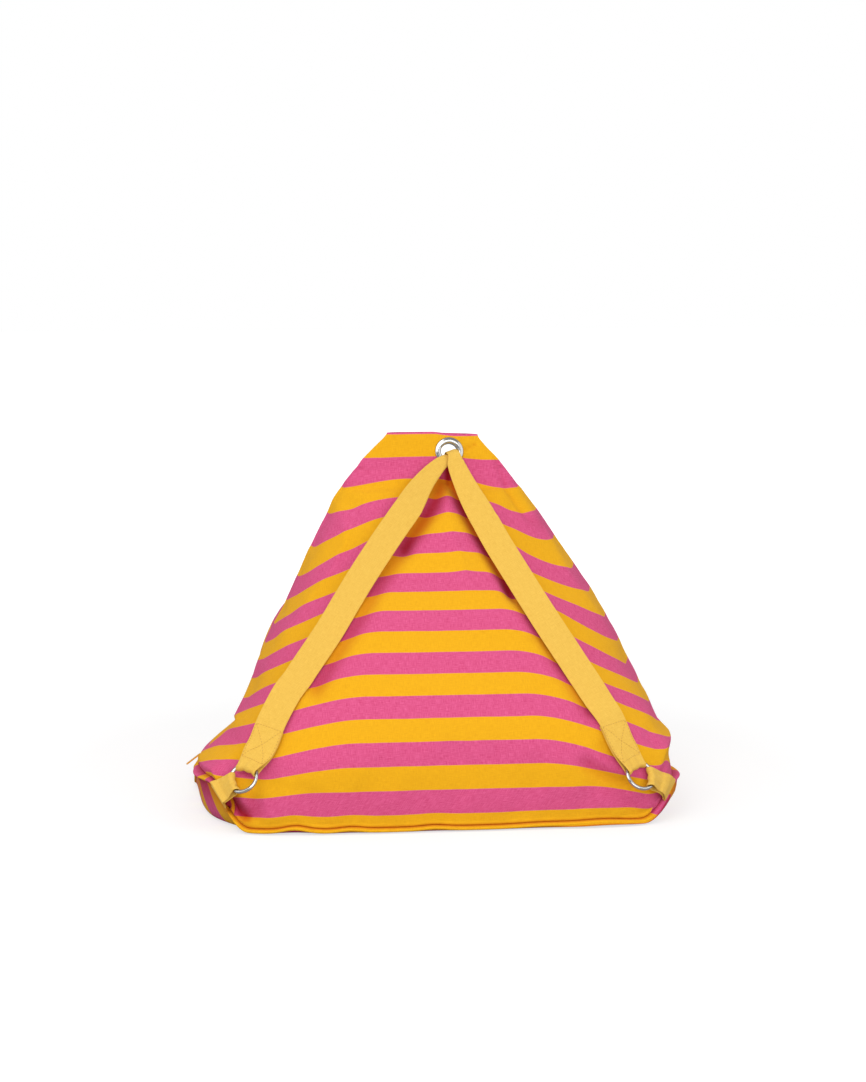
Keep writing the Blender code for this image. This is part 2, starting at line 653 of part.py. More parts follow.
def make_strap(side, tree, material):
    """One strap: hanging loop behind the flap, eyelet, front of the cloth, ring, turned end."""
    centre, across, up, out = flap_frame()
    rows = strap_rows(side, tree)
    turns = ring_turns(side, Vector(rows[-1][:3]), Vector((1, 0, 0)), RINGS[side].strap_width)
    end = middle_of(turns[0])
    facing = (end - middle_of(turns[-1])).normalized()
    rows.append((*end, WEBBING_WIDTH, WEBBING_THICK, None))
    path = curve_through([row[:5] + (0.0 if row[5] is None else row[5],) for row in rows],
                         STRAP_STEP)
    # up to the last row with a roll the webbing is gathered, and beyond it lies as the cloth does
    last_gathered = max(i for i, row in enumerate(rows) if row[5] is not None)
    free_from = path.index(min(path, key=lambda row: math.dist(row[:3], rows[last_gathered][:3])))

    stations = []
    for i, row in enumerate(path):
        point = Vector(row[:3])
        ahead = Vector(path[min(i + 1, len(path) - 1)][:3])
        prior = Vector(path[max(i - 1, 0)][:3])
        run = (ahead - prior).normalized()
        if i < free_from:
            roll = math.radians(row[5])
            side_way = across * math.cos(roll) + up * math.sin(roll)
        else:
            side_way = tree.find_nearest(point)[1].cross(run)
            if side_way.x < 0:
                side_way = -side_way
        side_way = (side_way - run * side_way.dot(run)).normalized()
        stations.append(Station(point, side_way, out, row[3], row[4]))
    stations = squared_up(stations)
    layers = WEBBING_THICK + STITCH_SPACE
    free = []
    for s in stations[:-1]:
        sewn = (s.centre - end).length < RETURN_LENGTH + STRAP_STEP
        clearance = CLOTH_CLEARANCE + (layers if sewn else 0.0)
        free.append(keep_off(tree, s, clearance) if s.centre.z < STRAP_FREE_BELOW else s)
    stations = free + stations[-1:]
    if stations[-1].normal.dot(facing) < 0:
        stations = [s._replace(normal=-s.normal) for s in stations]

    front, back = [], []
    round_wire = 2 * (WIRE_RADIUS + WIRE_GAP) + WEBBING_THICK
    distance = 0.0
    for i in range(len(stations) - 1, -1, -1):
        s = stations[i]
        if i < len(stations) - 1:
            distance += (stations[i + 1].centre - s.centre).length
        near_ring = 1 - ease(distance / PUCKER_LENGTH)
        front.append(blend(flat_section(s), turns[0], near_ring, s.centre))
        if distance <= RETURN_LENGTH:
            inward = s.normal.lerp(facing, near_ring).normalized()
            space = layers + (round_wire - layers) * near_ring
            under = s._replace(centre=s.centre - inward * space, normal=-s.normal)
            back.append(blend(flat_section(under), turns[-1], near_ring, under.centre))
    sections = list(reversed(front))[:-1] + turns + back[1:]
    return add_object("strap_" + side, loft(sections), material)


def make_tab(side, tree, material):
    """A short loop of webbing round the ring, both ends sewn into the base seam."""
    root = Vector(TAB_ROOTS[side].place)
    normal = Vector(TAB_ROOTS[side].out).normalized()
    seam = Vector(TAB_ROOTS[side].seam)
    seam = (seam - normal * seam.dot(normal)).normalized()
    turns = ring_turns(side, root, seam, RINGS[side].tab_width)
    layers = []
    for turn, face in ((turns[-1], -1), (turns[0], 1)):
        above = len(layers) * (WEBBING_THICK + STITCH_SPACE)
        lift = TAB_GAP + WEBBING_THICK / 2 + above
        foot = Station(root + normal * lift, seam, normal * face, WEBBING_WIDTH, WEBBING_THICK)
        start = middle_of(turn)
        sections = []
        for i in range(1, TAB_STEPS + 1):
            share = i / TAB_STEPS
            centre = start.lerp(foot.centre, share)
            section = blend(turn, flat_section(foot), ease(share * TAB_FLATTENS), centre)
            section = lay_over(tree, section, normal, TAB_GAP + above * share)
            if layers:
                space = (middle_of(section) - middle_of(layers[0][i - 1])).dot(normal)
                lack = max(WEBBING_THICK + STITCH_SPACE - space, 0.0)
                section = [point + normal * lack for point in section]
            sections.append(section)
        layers.append(sections)
    under, over = layers
    return add_object("tab_" + side, loft(list(reversed(over)) + turns + under), material)


def make_zip_piece(name, piece, material):
    """A small rounded block, leaning with the cloth at the foot of the left side."""
    bm = bmesh.new()
    bmesh.ops.create_cube(bm, size=1.0)
    bmesh.ops.scale(bm, vec=piece.size, verts=bm.verts)
    bmesh.ops.bevel(bm, geom=bm.edges[:], offset=piece.round_off, segments=2, affect="EDGES",
                    profile=0.5, material=-1)
    bmesh.ops.rotate(bm, verts=bm.verts, cent=(0, 0, 0),
                     matrix=Matrix.Rotation(math.radians(piece.lean), 3, "Y"))
    bmesh.ops.translate(bm, verts=bm.verts, vec=piece.place)
    return add_object(name, bm, material)


def stand_at_origin():
    """Put the origin on the floor, under the middle of everything built."""
    built = [item for item in bpy.data.objects if not item.hide_render]
    corners = [v.co for item in built for v in item.data.vertices]
    for item in bpy.data.objects:
        for axis in (0, 1):
            item.location[axis] -= (max(c[axis] for c in corners)
                                    + min(c[axis] for c in corners)) / 2


def main():
    clear_scene()
    canvas = finish("striped_canvas", (0.90, 0.42, 0.08), 0.90)
    flap_canvas = finish("flap_canvas", (0.80, 0.20, 0.25), 0.90)
    webbing = finish("webbing", (0.93, 0.60, 0.17), 0.85)
    steel = finish("polished_steel", (0.80, 0.80, 0.80), 0.12, 1.0)
    enamel = finish("pull_enamel", (0.90, 0.45, 0.05), 0.35)

    body = make_body(canvas)
    tree = BVHTree.FromObject(body, bpy.context.evaluated_depsgraph_get())
    make_flap(flap_canvas)
    make_eyelet(steel)
    for side in ("left", "right"):
        make_ring(side, steel)
        make_strap(side, tree, webbing)
        make_tab(side, tree, webbing)
    make_zip_piece("zip_slider", ZIP_SLIDER, steel)
    make_zip_piece("zip_pull", ZIP_PULL, enamel)
    stand_at_origin()


main()
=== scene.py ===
import math

import bmesh
import bpy
import numpy as np
from mathutils import Matrix, Vector
from mathutils.bvhtree import BVHTree


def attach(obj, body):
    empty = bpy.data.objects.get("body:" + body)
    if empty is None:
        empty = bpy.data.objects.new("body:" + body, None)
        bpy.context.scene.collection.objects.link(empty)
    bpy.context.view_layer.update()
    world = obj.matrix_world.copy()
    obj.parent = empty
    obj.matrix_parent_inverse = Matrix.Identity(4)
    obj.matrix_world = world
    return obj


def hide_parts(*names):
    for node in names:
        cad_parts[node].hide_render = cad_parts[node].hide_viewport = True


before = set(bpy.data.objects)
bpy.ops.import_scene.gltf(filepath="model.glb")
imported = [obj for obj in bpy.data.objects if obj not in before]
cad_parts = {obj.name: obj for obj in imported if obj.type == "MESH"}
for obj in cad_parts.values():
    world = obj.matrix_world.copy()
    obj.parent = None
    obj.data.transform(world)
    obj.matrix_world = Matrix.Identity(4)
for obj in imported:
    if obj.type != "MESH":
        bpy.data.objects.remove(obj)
bpy.context.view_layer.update()

underCloth = BVHTree.FromObject(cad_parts["cover_body"], bpy.context.evaluated_depsgraph_get())
print("frame loaded:", len(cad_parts), "nodes")

# the camera stands where the photo was taken from
shot = {"place": (-0.3180, -3.1937, 0.7803), "pitch": 82.0, "turn": -6.0, "lens": 79.0}
cameraData = bpy.data.cameras.new("photoCamera")
cameraData.lens = shot["lens"]
cameraData.sensor_width = 36.0
camera = bpy.data.objects.new("photoCamera", cameraData)
camera.location = shot["place"]
camera.rotation_euler = (math.radians(shot["pitch"]), 0.0, math.radians(shot["turn"]))
bpy.context.scene.collection.objects.link(camera)
bpy.context.scene.camera = camera

# the tables below count from here, and the pouf stands with its box over the origin
stand = Vector((0.0010844, 0.0050410, 0.0))


# small helpers

def ease(value):
    value = np.clip(value, 0.0, 1.0)
    return value * value * (3.0 - 2.0 * value)


def between(value, low, high):
    return ease((value - low) / (high - low))


def addPiece(name, bm, material, smooth=True):
    mesh = bpy.data.meshes.new(name)
    bm.to_mesh(mesh)
    bm.free()
    mesh.materials.append(material)
    if smooth:
        mesh.shade_smooth()
    piece = bpy.data.objects.new(name, mesh)
    bpy.context.scene.collection.objects.link(piece)
    return piece


def applied(piece):
    # bakes the modifiers into the piece's own mesh
    graph = bpy.context.evaluated_depsgraph_get()
    mesh = bpy.data.meshes.new_from_object(piece.evaluated_get(graph))
    piece.modifiers.clear()
    old = piece.data
    piece.data = mesh
    mesh.name = old.name
    bpy.data.meshes.remove(old)
    mesh.shade_smooth()
    return piece


def layRows(rowCount, columnCount):
    # a flat grid, and the column and row of each of its vertices
    bm = bmesh.new()
    bmesh.ops.create_grid(bm, x_segments=columnCount, y_segments=rowCount - 1, size=0.5)
    where = {}
    for vert in bm.verts:
        column, level = (vert.co.x + 0.5) * columnCount, (vert.co.y + 0.5) * (rowCount - 1)
        where[vert.index] = (round(column), round(level))
    return bm, where


def addFiner(piece):
    finer = piece.modifiers.new("finer", "SUBSURF")
    finer.levels = finer.render_levels = 1
    finer.use_limit_surface = False
    return applied(piece)


def readMesh(mesh, what):
    # its points' places, or their normals, as rows of three numbers
    found = np.empty(len(mesh.vertices) * 3)
    mesh.vertices.foreach_get(what, found)
    return found.reshape(-1, 3)


def placeAt(bm, centre, across, up, out):
    place = Matrix((across, up, out)).transposed().to_4x4()
    place.translation = centre
    bmesh.ops.transform(bm, matrix=place, verts=bm.verts)


# materials

def newGroup(name, inputs, outputs):
    group = bpy.data.node_groups.new(name, "ShaderNodeTree")
    for socketName, kind, value in inputs:
        socket = group.interface.new_socket(socketName, in_out="INPUT", socket_type=kind)
        if value is not None:
            socket.default_value = value
    for socketName, kind in outputs:
        group.interface.new_socket(socketName, in_out="OUTPUT", socket_type=kind)
    return group, group.nodes.new("NodeGroupInput"), group.nodes.new("NodeGroupOutput")


def calc(tree, operation, first, second=None, third=None, clamp=False):
    node = tree.nodes.new("ShaderNodeMath")
    node.operation = operation
    node.use_clamp = clamp
    for socket, value in zip(node.inputs, (first, second, third)):
        if isinstance(value, (int, float)):
            socket.default_value = value
        elif value is not None:
            tree.links.new(value, socket)
    return node.outputs[0]


def mixColor(tree, share, first, second):
    node = tree.nodes.new("ShaderNodeMix")
    node.data_type = "RGBA"
    # of its sockets, 0 is the share, and 6 and 7 are the two colours
    for socket, value in ((node.inputs[0], share), (node.inputs[6], first), (node.inputs[7], second)):
        if isinstance(value, tuple):
            socket.default_value = (*value, 1.0)
        else:
            tree.links.new(value, socket)
    return node.outputs[2]


def noise(tree, vector, scale, detail=2.0, stretch=(1, 1, 1)):
    mapping = tree.nodes.new("ShaderNodeMapping")
    mapping.inputs["Scale"].default_value = stretch
    tree.links.new(vector, mapping.inputs["Vector"])
    node = tree.nodes.new("ShaderNodeTexNoise")
    node.inputs["Scale"].default_value = scale
    node.inputs["Detail"].default_value = detail
    tree.links.new(mapping.outputs[0], node.inputs["Vector"])
    return node.outputs["Fac"]


weaveLook = {"slubAlong": 110, "slubAcross": 1500, "slubDetail": 3.0, "fibre": 900.0}


def makeWeave():
    # plain weave: threads over and under, and the slubs and loose fibres in them
    group, enter, leave = newGroup(
        "plainWeave",
        [("Cloth", "NodeSocketVector", None), ("Thread", "NodeSocketFloat", 0.0006)],
        [("Height", "NodeSocketFloat"), ("Slub", "NodeSocketFloat"), ("Fibre", "NodeSocketFloat")])
    split = group.nodes.new("ShaderNodeSeparateXYZ")
    group.links.new(enter.outputs["Cloth"], split.inputs[0])
    waves = []
    for axis in (0, 1):
        turns = calc(group, "DIVIDE", split.outputs[axis], enter.outputs["Thread"])
        waves.append(calc(group, "SINE", calc(group, "MULTIPLY", turns, math.pi)))
    over = calc(group, "MULTIPLY", waves[0], waves[1])
    group.links.new(calc(group, "MULTIPLY_ADD", over, 0.5, 0.5), leave.inputs["Height"])
    long, short, detail = weaveLook["slubAlong"], weaveLook["slubAcross"], weaveLook["slubDetail"]
    along = noise(group, enter.outputs["Cloth"], 1.0, detail, (long, short, 1))
    upward = noise(group, enter.outputs["Cloth"], 1.0, detail, (short, long, 1))
    slub = calc(group, "MULTIPLY", calc(group, "ADD", along, upward), 0.5)
    group.links.new(slub, leave.inputs["Slub"])
    group.links.new(noise(group, enter.outputs["Cloth"], weaveLook["fibre"], 1.0), leave.inputs["Fibre"])
    return group


weaveGroup = makeWeave()


def newMaterial(name, roughness, metallic=0.0, sheen=0.0, specular=0.5):
    material = bpy.data.materials.new(name)
    material.use_nodes = True
    shader = material.node_tree.nodes["Principled BSDF"]
    shader.inputs["Roughness"].default_value = roughness
    shader.inputs["Metallic"].default_value = metallic
    shader.inputs["Sheen Weight"].default_value = sheen
    shader.inputs["Specular IOR Level"].default_value = specular
    return material, material.node_tree, shader


def wovenPlace(tree, thread):
    # the place on the flat cloth, split into across and along, and the weave there
    place = tree.nodes.new("ShaderNodeUVMap")
    place.uv_map = "cloth"
    split = tree.nodes.new("ShaderNodeSeparateXYZ")
    tree.links.new(place.outputs[0], split.inputs[0])
    weave = tree.nodes.new("ShaderNodeGroup")
    weave.node_tree = weaveGroup
    weave.inputs["Thread"].default_value = thread
    tree.links.new(place.outputs[0], weave.inputs["Cloth"])
    return place.outputs[0], split.outputs, weave.outputs


def bumped(tree, shader, height, distance):
    node = tree.nodes.new("ShaderNodeBump")
    node.inputs["Distance"].default_value = distance
    tree.links.new(height, node.inputs["Height"])
    tree.links.new(node.outputs[0], shader.inputs["Normal"])


canvasLook = {
    # the two deepest tones are painted shade for the folds, the seam's groove and the base's foot
    "orange": (0.89, 0.468, 0.0105), "orangeDark": (0.75, 0.335, 0.006), "orangePaintedShade": (0.56, 0.100, 0.001),
    "pink": (0.79, 0.134, 0.313), "pinkDark": (0.60, 0.055, 0.165), "pinkLight": (0.86, 0.20, 0.37),
    "pinkPaintedShade": (0.34, 0.004, 0.010),
    "pitch": 0.031, "start": 0.0221, "thread": 0.00055, "relief": 0.00012, "slubRelief": 1.5,
    # how far a stripe's edge wanders, how coarsely, and how sharp it is
    "wander": 0.0012, "wanderScale": 25.0, "sharp": 14.0,
    # how strongly a mask is spread, and where it starts
    "pinkSlub": (3.0, -1.05), "pinkFibre": (3.0, -1.95), "orangeSlub": (2.6, -0.75),
}


def makeCanvas():
    look = canvasLook
    material, tree, shader = newMaterial("stripedCanvas", 0.9, sheen=0.03, specular=0.15)
    place, split, weave = wovenPlace(tree, look["thread"])

    def mask(source, spread):
        return calc(tree, "MULTIPLY_ADD", source, *spread, clamp=True)

    # a stripe's edge follows the threads, and wanders by a fraction of a millimetre
    wander = calc(tree, "MULTIPLY_ADD", noise(tree, place, look["wanderScale"]), look["wander"],
                  -look["wander"] / 2 - look["start"])
    turns = calc(tree, "MULTIPLY", calc(tree, "ADD", split[1], wander), math.pi / look["pitch"])
    pinkPart = mask(calc(tree, "SINE", turns), (look["sharp"], 0.5))
    slub = weave["Slub"]
    pinkTone = mixColor(tree, mask(slub, look["pinkSlub"]), look["pinkDark"], look["pink"])
    pinkTone = mixColor(tree, mask(weave["Fibre"], look["pinkFibre"]), pinkTone, look["pinkLight"])
    orangeTone = mixColor(tree, mask(slub, look["orangeSlub"]), look["orangeDark"], look["orange"])
    # painted shade: deep in the folds, in the seam's groove and at the base's foot, where the cloth is lit by
    # itself alone, the colour is mixed towards darker, fuller tones
    paintedShadeNode = tree.nodes.new("ShaderNodeAttribute")
    paintedShadeNode.attribute_name = "fold"
    orangeTone = mixColor(tree, paintedShadeNode.outputs["Fac"], orangeTone, look["orangePaintedShade"])
    pinkTone = mixColor(tree, paintedShadeNode.outputs["Fac"], pinkTone, look["pinkPaintedShade"])
    tree.links.new(mixColor(tree, pinkPart, orangeTone, pinkTone), shader.inputs["Base Color"])
    height = calc(tree, "ADD", weave["Height"], calc(tree, "MULTIPLY", slub, look["slubRelief"]))
    bumped(tree, shader, height, look["relief"])
    return material


webbingLook = {
    "tone": (0.90, 0.578, 0.102), "dark": (0.72, 0.385, 0.048), "thread": 0.0005, "relief": 0.00014,
    # the ribs: spacing, slant across the tape, share of the height and of the colour
    "rib": 0.0011, "slant": 0.6, "ribHeight": 0.35, "ribTone": 0.10, "slub": (2.2, -0.45), "slubTone": 0.95,
}


def makeWebbing():
    look = webbingLook
    material, tree, shader = newMaterial("cottonWebbing", 0.85, sheen=0.04, specular=0.2)
    _, split, weave = wovenPlace(tree, look["thread"])
    # fine twill ribs that run at a slant across the tape
    slant = calc(tree, "MULTIPLY_ADD", split[0], look["slant"], split[1])
    ribs = calc(tree, "SINE", calc(tree, "MULTIPLY", slant, 2 * math.pi / look["rib"]))
    slub = weave["Slub"]
    tone = calc(tree, "MULTIPLY_ADD", slub, *look["slub"], clamp=True)
    tone = calc(tree, "MULTIPLY", tone, look["slubTone"])
    tone = calc(tree, "MULTIPLY_ADD", ribs, look["ribTone"], tone, clamp=True)
    tree.links.new(mixColor(tree, tone, look["dark"], look["tone"]), shader.inputs["Base Color"])
    height = calc(tree, "MULTIPLY_ADD", ribs, look["ribHeight"], calc(tree, "ADD", weave["Height"], slub))
    bumped(tree, shader, height, look["relief"])
    return material


def objectPlace(tree):
    return tree.nodes.new("ShaderNodeTexCoord").outputs["Object"]


steelLook = {"dark": (0.52, 0.51, 0.50), "light": (0.70, 0.70, 0.69), "marks": 260.0, "smears": 60.0,
             "markSpread": (0.5, 0.25), "roughness": (0.18, 0.06), "relief": 0.00001}
enamelLook = {"dark": (0.80, 0.34, 0.01), "light": (0.95, 0.46, 0.02), "specks": 900.0,
              "roughness": (0.25, 0.22), "relief": 0.00004}
threadLook = {"light": (0.72, 0.36, 0.035), "dark": (0.52, 0.22, 0.018), "twist": 1600.0, "relief": 0.00006}


def makeSteel():
    look = steelLook
    material, tree, shader = newMaterial("polishedSteel", 0.16, metallic=1.0)
    place = objectPlace(tree)
    marks = noise(tree, place, look["marks"], 4.0)
    smears = noise(tree, place, look["smears"])
    tone = calc(tree, "MULTIPLY_ADD", marks, *look["markSpread"], clamp=True)
    tree.links.new(mixColor(tree, tone, look["dark"], look["light"]), shader.inputs["Base Color"])
    tree.links.new(calc(tree, "MULTIPLY_ADD", smears, *look["roughness"]), shader.inputs["Roughness"])
    bumped(tree, shader, marks, look["relief"])
    return material


def makeEnamel():
    look = enamelLook
    material, tree, shader = newMaterial("pullEnamel", 0.35)
    speck = noise(tree, objectPlace(tree), look["specks"], 3.0)
    tree.links.new(mixColor(tree, speck, look["dark"], look["light"]), shader.inputs["Base Color"])
    tree.links.new(calc(tree, "MULTIPLY_ADD", speck, *look["roughness"]), shader.inputs["Roughness"])
    bumped(tree, shader, speck, look["relief"])
    return material


def makeThread():
    look = threadLook
    material, tree, shader = newMaterial("strapThread", 0.7, sheen=0.2)
    twist = noise(tree, objectPlace(tree), look["twist"])
    tree.links.new(mixColor(tree, twist, look["dark"], look["light"]), shader.inputs["Base Color"])
    bumped(tree, shader, twist, look["relief"])
    return material


canvas = makeCanvas()
tape = makeWebbing()
steel = makeSteel()
enamel = makeEnamel()
strapThread = makeThread()
print("materials made")


# the striped cover

# folds pressed into the front, or standing out where the depth is below 0:
# depth, half width, how strongly painted shade darkens the colour along it, and the places that it runs
# through, across and up
foldLines = [
    (-0.0035, 0.009, 0, [(-0.119, 0.392), (-0.106, 0.358), (-0.1074, 0.3338), (-0.1296, 0.2972),
                         (-0.1583, 0.2646), (-0.1898, 0.2186)]),
    (-0.0020, 0.008, 0, [(-0.186, 0.228), (-0.205, 0.201), (-0.222, 0.170)]),
    (-0.0040, 0.009, 0, [(0.133, 0.397), (0.1447, 0.3735), (0.1662, 0.3434), (0.1944, 0.286),
                         (0.2169, 0.2566), (0.2339, 0.2313), (0.2545, 0.1957)]),
    (0.0085, 0.011, 0.85, [(0.0272, 0.409), (0.0129, 0.3856), (-0.0073, 0.3621), (-0.0309, 0.3358)]),
    (0.0060, 0.007, 1.0, [(0.0375, 0.430), (0.0362, 0.414)]),
    (0.0050, 0.011, 0.5, [(-0.0309, 0.3358), (-0.0745, 0.283), (-0.1062, 0.2405), (-0.1311, 0.208),
                          (-0.157, 0.1733)]),
    (-0.0050, 0.012, 0, [(0.0348, 0.4218), (0.0282, 0.3917), (0.031, 0.369), (0.0371, 0.3351),
                         (0.0481, 0.2995)]),
    (0.0100, 0.010, 0.95, [(0.0437, 0.4114), (0.0533, 0.3855), (0.07, 0.3526), (0.0905, 0.3161),
                           (0.1077, 0.2831)]),
    (0.0050, 0.010, 0.5, [(0.1077, 0.2831), (0.1363, 0.2365), (0.1608, 0.1941), (0.194, 0.1409)]),
    (0.0022, 0.004, 0.12, [(0.1041, 0.4366), (0.1091, 0.4179), (0.1173, 0.3972), (0.1303, 0.377),
                           (0.1413, 0.3617), (0.1596, 0.3514)]),
    (0.0012, 0.0022, 0.25, [(0.0607, 0.4544), (0.0746, 0.4603)]),
    (0.0150, 0.0078, 1.0, [(-0.278, 0.052), (-0.270, 0.040), (-0.2600, 0.029), (-0.250, 0.021)]),
    (-0.0060, 0.007, 0, [(-0.262, 0.054), (-0.2505, 0.040), (-0.2465, 0.024)]),
    (0.0060, 0.008, 0.3, [(-0.2425, 0.045), (-0.239, 0.036), (-0.2355, 0.024)]),
    (0.0075, 0.009, 0.3, [(0.184, 0.081), (0.208, 0.066), (0.240, 0.052)]),
    (0.0035, 0.010, 0.12, [(0.193, 0.0603), (0.2215, 0.0441), (0.2519, 0.0160)]),
    (-0.0030, 0.006, 0, [(0.2519, 0.0190), (0.2737, 0.0200)]),
    (0.0025, 0.008, 0.1, [(0.2026, 0.101), (0.2302, 0.0794)]),
]

cover = {
    "columnsFront": 152, "columnsBack": 64, "crowding": 0.45, "crowdingShift": 0.03,
    # height, reach to the front, back, left and right, and how square the outline is there
    "sections": np.array([
        (0.0000, 0.2990, 0.2900, 0.3090, 0.3130, 6.0, 7.6, 2.7),
        (0.0200, 0.3005, 0.2950, 0.3112, 0.3120, 6.3, 7.6, 2.7),
        (0.0350, 0.2998, 0.2950, 0.2940, 0.3112, 6.2, 7.0, 2.7),
        (0.0480, 0.2977, 0.2936, 0.2800, 0.3149, 6.1, 6.5, 2.7),
        (0.0580, 0.2961, 0.2921, 0.2720, 0.3174, 5.8, 6.2, 2.7),
        (0.0680, 0.2947, 0.2906, 0.2692, 0.3129, 5.6, 5.9, 2.7),
        (0.0800, 0.2920, 0.2880, 0.2680, 0.3073, 5.2, 5.6, 2.7),
        (0.0920, 0.2869, 0.2837, 0.2668, 0.3023, 4.9, 5.4, 2.7),
        (0.1050, 0.2800, 0.2780, 0.2610, 0.2989, 4.6, 5.2, 2.7),
        (0.1200, 0.2719, 0.2709, 0.2546, 0.2957, 4.3, 4.7, 2.7),
        (0.1350, 0.2630, 0.2630, 0.2488, 0.2917, 4.0, 4.2, 2.7),
        (0.1500, 0.2528, 0.2540, 0.2436, 0.2868, 3.8, 3.8, 2.7),
        (0.1620, 0.2440, 0.2460, 0.2404, 0.2818, 3.6, 3.6, 2.7),
        (0.1780, 0.2316, 0.2346, 0.2357, 0.2741, 3.4, 3.4, 2.7),
        (0.1950, 0.2180, 0.2220, 0.2296, 0.2668, 3.2, 3.2, 2.7),
        (0.2100, 0.2060, 0.2106, 0.2225, 0.2611, 3.1, 3.1, 2.7),
        (0.2260, 0.1930, 0.1980, 0.2131, 0.2533, 3.0, 3.0, 2.7),
        (0.2430, 0.1797, 0.1837, 0.2037, 0.2455, 2.9, 2.9, 2.7),
        (0.2600, 0.1650, 0.1690, 0.1959, 0.2368, 2.8, 2.8, 2.7),
        (0.2770, 0.1463, 0.1541, 0.1874, 0.2253, 2.7, 2.7, 2.7),
        (0.2950, 0.1260, 0.1380, 0.1770, 0.2130, 2.7, 2.7, 2.7),
        (0.3130, 0.1090, 0.1216, 0.1657, 0.2005, 2.6, 2.6, 2.6),
        (0.3310, 0.0930, 0.1050, 0.1537, 0.1878, 2.6, 2.6, 2.6),
        (0.3500, 0.0767, 0.0879, 0.1410, 0.1746, 2.6, 2.6, 2.6),
        (0.3690, 0.0600, 0.0700, 0.1288, 0.1612, 2.6, 2.6, 2.6),
        (0.3870, 0.0416, 0.0505, 0.1187, 0.1471, 2.6, 2.6, 2.6),
        (0.4050, 0.0240, 0.0300, 0.1084, 0.1325, 2.6, 2.6, 2.6),
        (0.4283, 0.0100, 0.0030, 0.0905, 0.1160, 3.0, 3.0, 3.0)]),
    "floorPatch": (0.0, 0.2925, 0.2800, 0.3035, 0.3080, 4.0, 4.0, 2.6),
    # rows of the base panel, on the floor and then up to the seam's foot:
    # share of the way out, strength of the painted shade, share of the swelling
    "patchRows": (0.0, 0.5, 0.8, 1.0), "footShare": 0.4, "footHeight": 0.0012,
    "baseRows": ((0.3, 0.0, 0.2), (0.6, 0.0, 0.7), (0.85, 0.5, 1.0), (1.0, 0.8, 0.45)),
    "baseSwell": 0.0085, "swellFrom": (0.20, 0.34), "swellTo": (0.56, 0.66), "baseCurve": 2.1,
    # which stripes the welt shows round the right corner: part of the way to the side, place on the cloth
    "weltRight": ((0.455, 0.475, 0.519, 0.555, 0.600), (0.0, 0.0175, 0.0480, 0.0790, 0.1100)),
    "weltCorner": (0.53, 0.60), "weltBlend": (0.57, 0.63), "footUnder": 0.001,
    # rows round the welt and its groove: share of the welt's reach or of the groove's depth, height, strength
    # of the painted shade
    "weltRows": ((0.95, 0.0016, 0.0), (1.15, 0.0032, 0.0), (0.9, 0.0048, 0.0)),
    "grooveRows": ((-0.3, 0.0059, 0.5), (-1.0, 0.0065, 1.0), (-0.2, 0.0074, 0.3)),
    # the left wall draws in towards the back, between these places, at mid height
    "drawnIn": 0.0170, "drawnBack": (-0.24, 0.06), "drawnLow": (0.042, 0.084), "drawnHigh": (0.26, 0.38),
    # the closed zip makes that wall stand out round its slider: how far, at what height, and how wide
    "zipRidge": 0.0112, "zipAt": 0.042, "zipWide": 0.06, "zipHigh": 0.020,
    # the front corners are lifted: how high, over which parts of the way to the side, and up to what height
    "liftLeft": 0.0570, "liftRight": 0.0430, "liftFrom": (0.445, 0.565), "liftTo": (0.68, 1.0),
    "liftFade": 0.20,
    # where the front seam waves up off the floor: across, height, half width
    "waves": [(-0.188, 0.0050, 0.020), (-0.118, 0.0025, 0.018), (-0.012, 0.0022, 0.020),
              (0.130, 0.0020, 0.040), (0.205, 0.0035, 0.040)], "waveFade": 0.06,
    "weltReach": 0.0030, "grooveDepth": 0.0048, "earReach": 0.0080, "earAt": 0.64, "earSpread": 0.06,
    # rows of the walls: the first ones, and the steps of the others
    "lowRows": [0.0095, 0.0125, 0.0165], "rowsFrom": 0.0212, "rowStep": 0.0063,
    # the pinched flap, whose right end drops a little
    "flapBase": 0.4283, "top": 0.4780, "flapFace": -0.0095, "lean": math.radians(16.0),
    "flapThick": 0.0072, "tipDrop": 0.0035, "tipFrom": (0.015, 0.050),
    # it is thinner along its top edge: share of its height, share of its thickness
    "topEdge": ((0.90, 0.96, 1.0), (1.0, 0.85, 0.6)),
    "flapRows": (0.06, 0.13, 0.20, 0.27, 0.34, 0.41, 0.48, 0.55, 0.62, 0.69, 0.76, 0.83, 0.90, 0.96, 1.0),
    # share of its height, reach to the left and right
    "flap": np.array([(0.00, 0.0905, 0.1160), (0.28, 0.0800, 0.1060), (0.62, 0.0620, 0.0905),
                      (0.88, 0.0478, 0.0803), (1.00, 0.0440, 0.0787)]),
    # how far the stripes sink beside the middle: how deep, from which to which part of the way to the side,
    # and between which heights it fades out
    "sink": {"left": (0.115, 0.25, 1.00, 0.20, 0.46), "right": (0.110, 0.20, 0.80, 0.16, 0.48)},
    # near the floor they stay level further out, up to this height
    "levelTo": 0.45, "levelUp": 0.09, "backSink": 1.6,
    # how far back the folds go at each height, and over what depth they run out there
    "folds": foldLines, "foldHeights": ((0.0, 0.15, 0.40), (-0.12, -0.04, 0.05)), "foldEnd": 0.04,
    "foldTurn": 0.15, "foldFloor": 0.008,
    # from which line near the front seam, left to right, and over what height the folds set in
    "seamHeights": ((-0.31, -0.24, -0.18, 0.18, 0.25, 0.31), (0.0342, 0.0072, 0.0, 0.0, 0.006, 0.0258)),
    "foldSeam": (0.003, 0.012),
    # before it swells, the free cloth is set back by shrink, and then stays within cap of its shape
    "shrink": 0.003, "cap": 0.0045, "settle": 0.0015, "freeBelow": 0.41, "sideSeam": 0.985, "frames": 20,
    # the hole that is cut for the eyelet: radius, and reach through both layers
    "cut": 0.0150, "cutReach": 0.02,
}


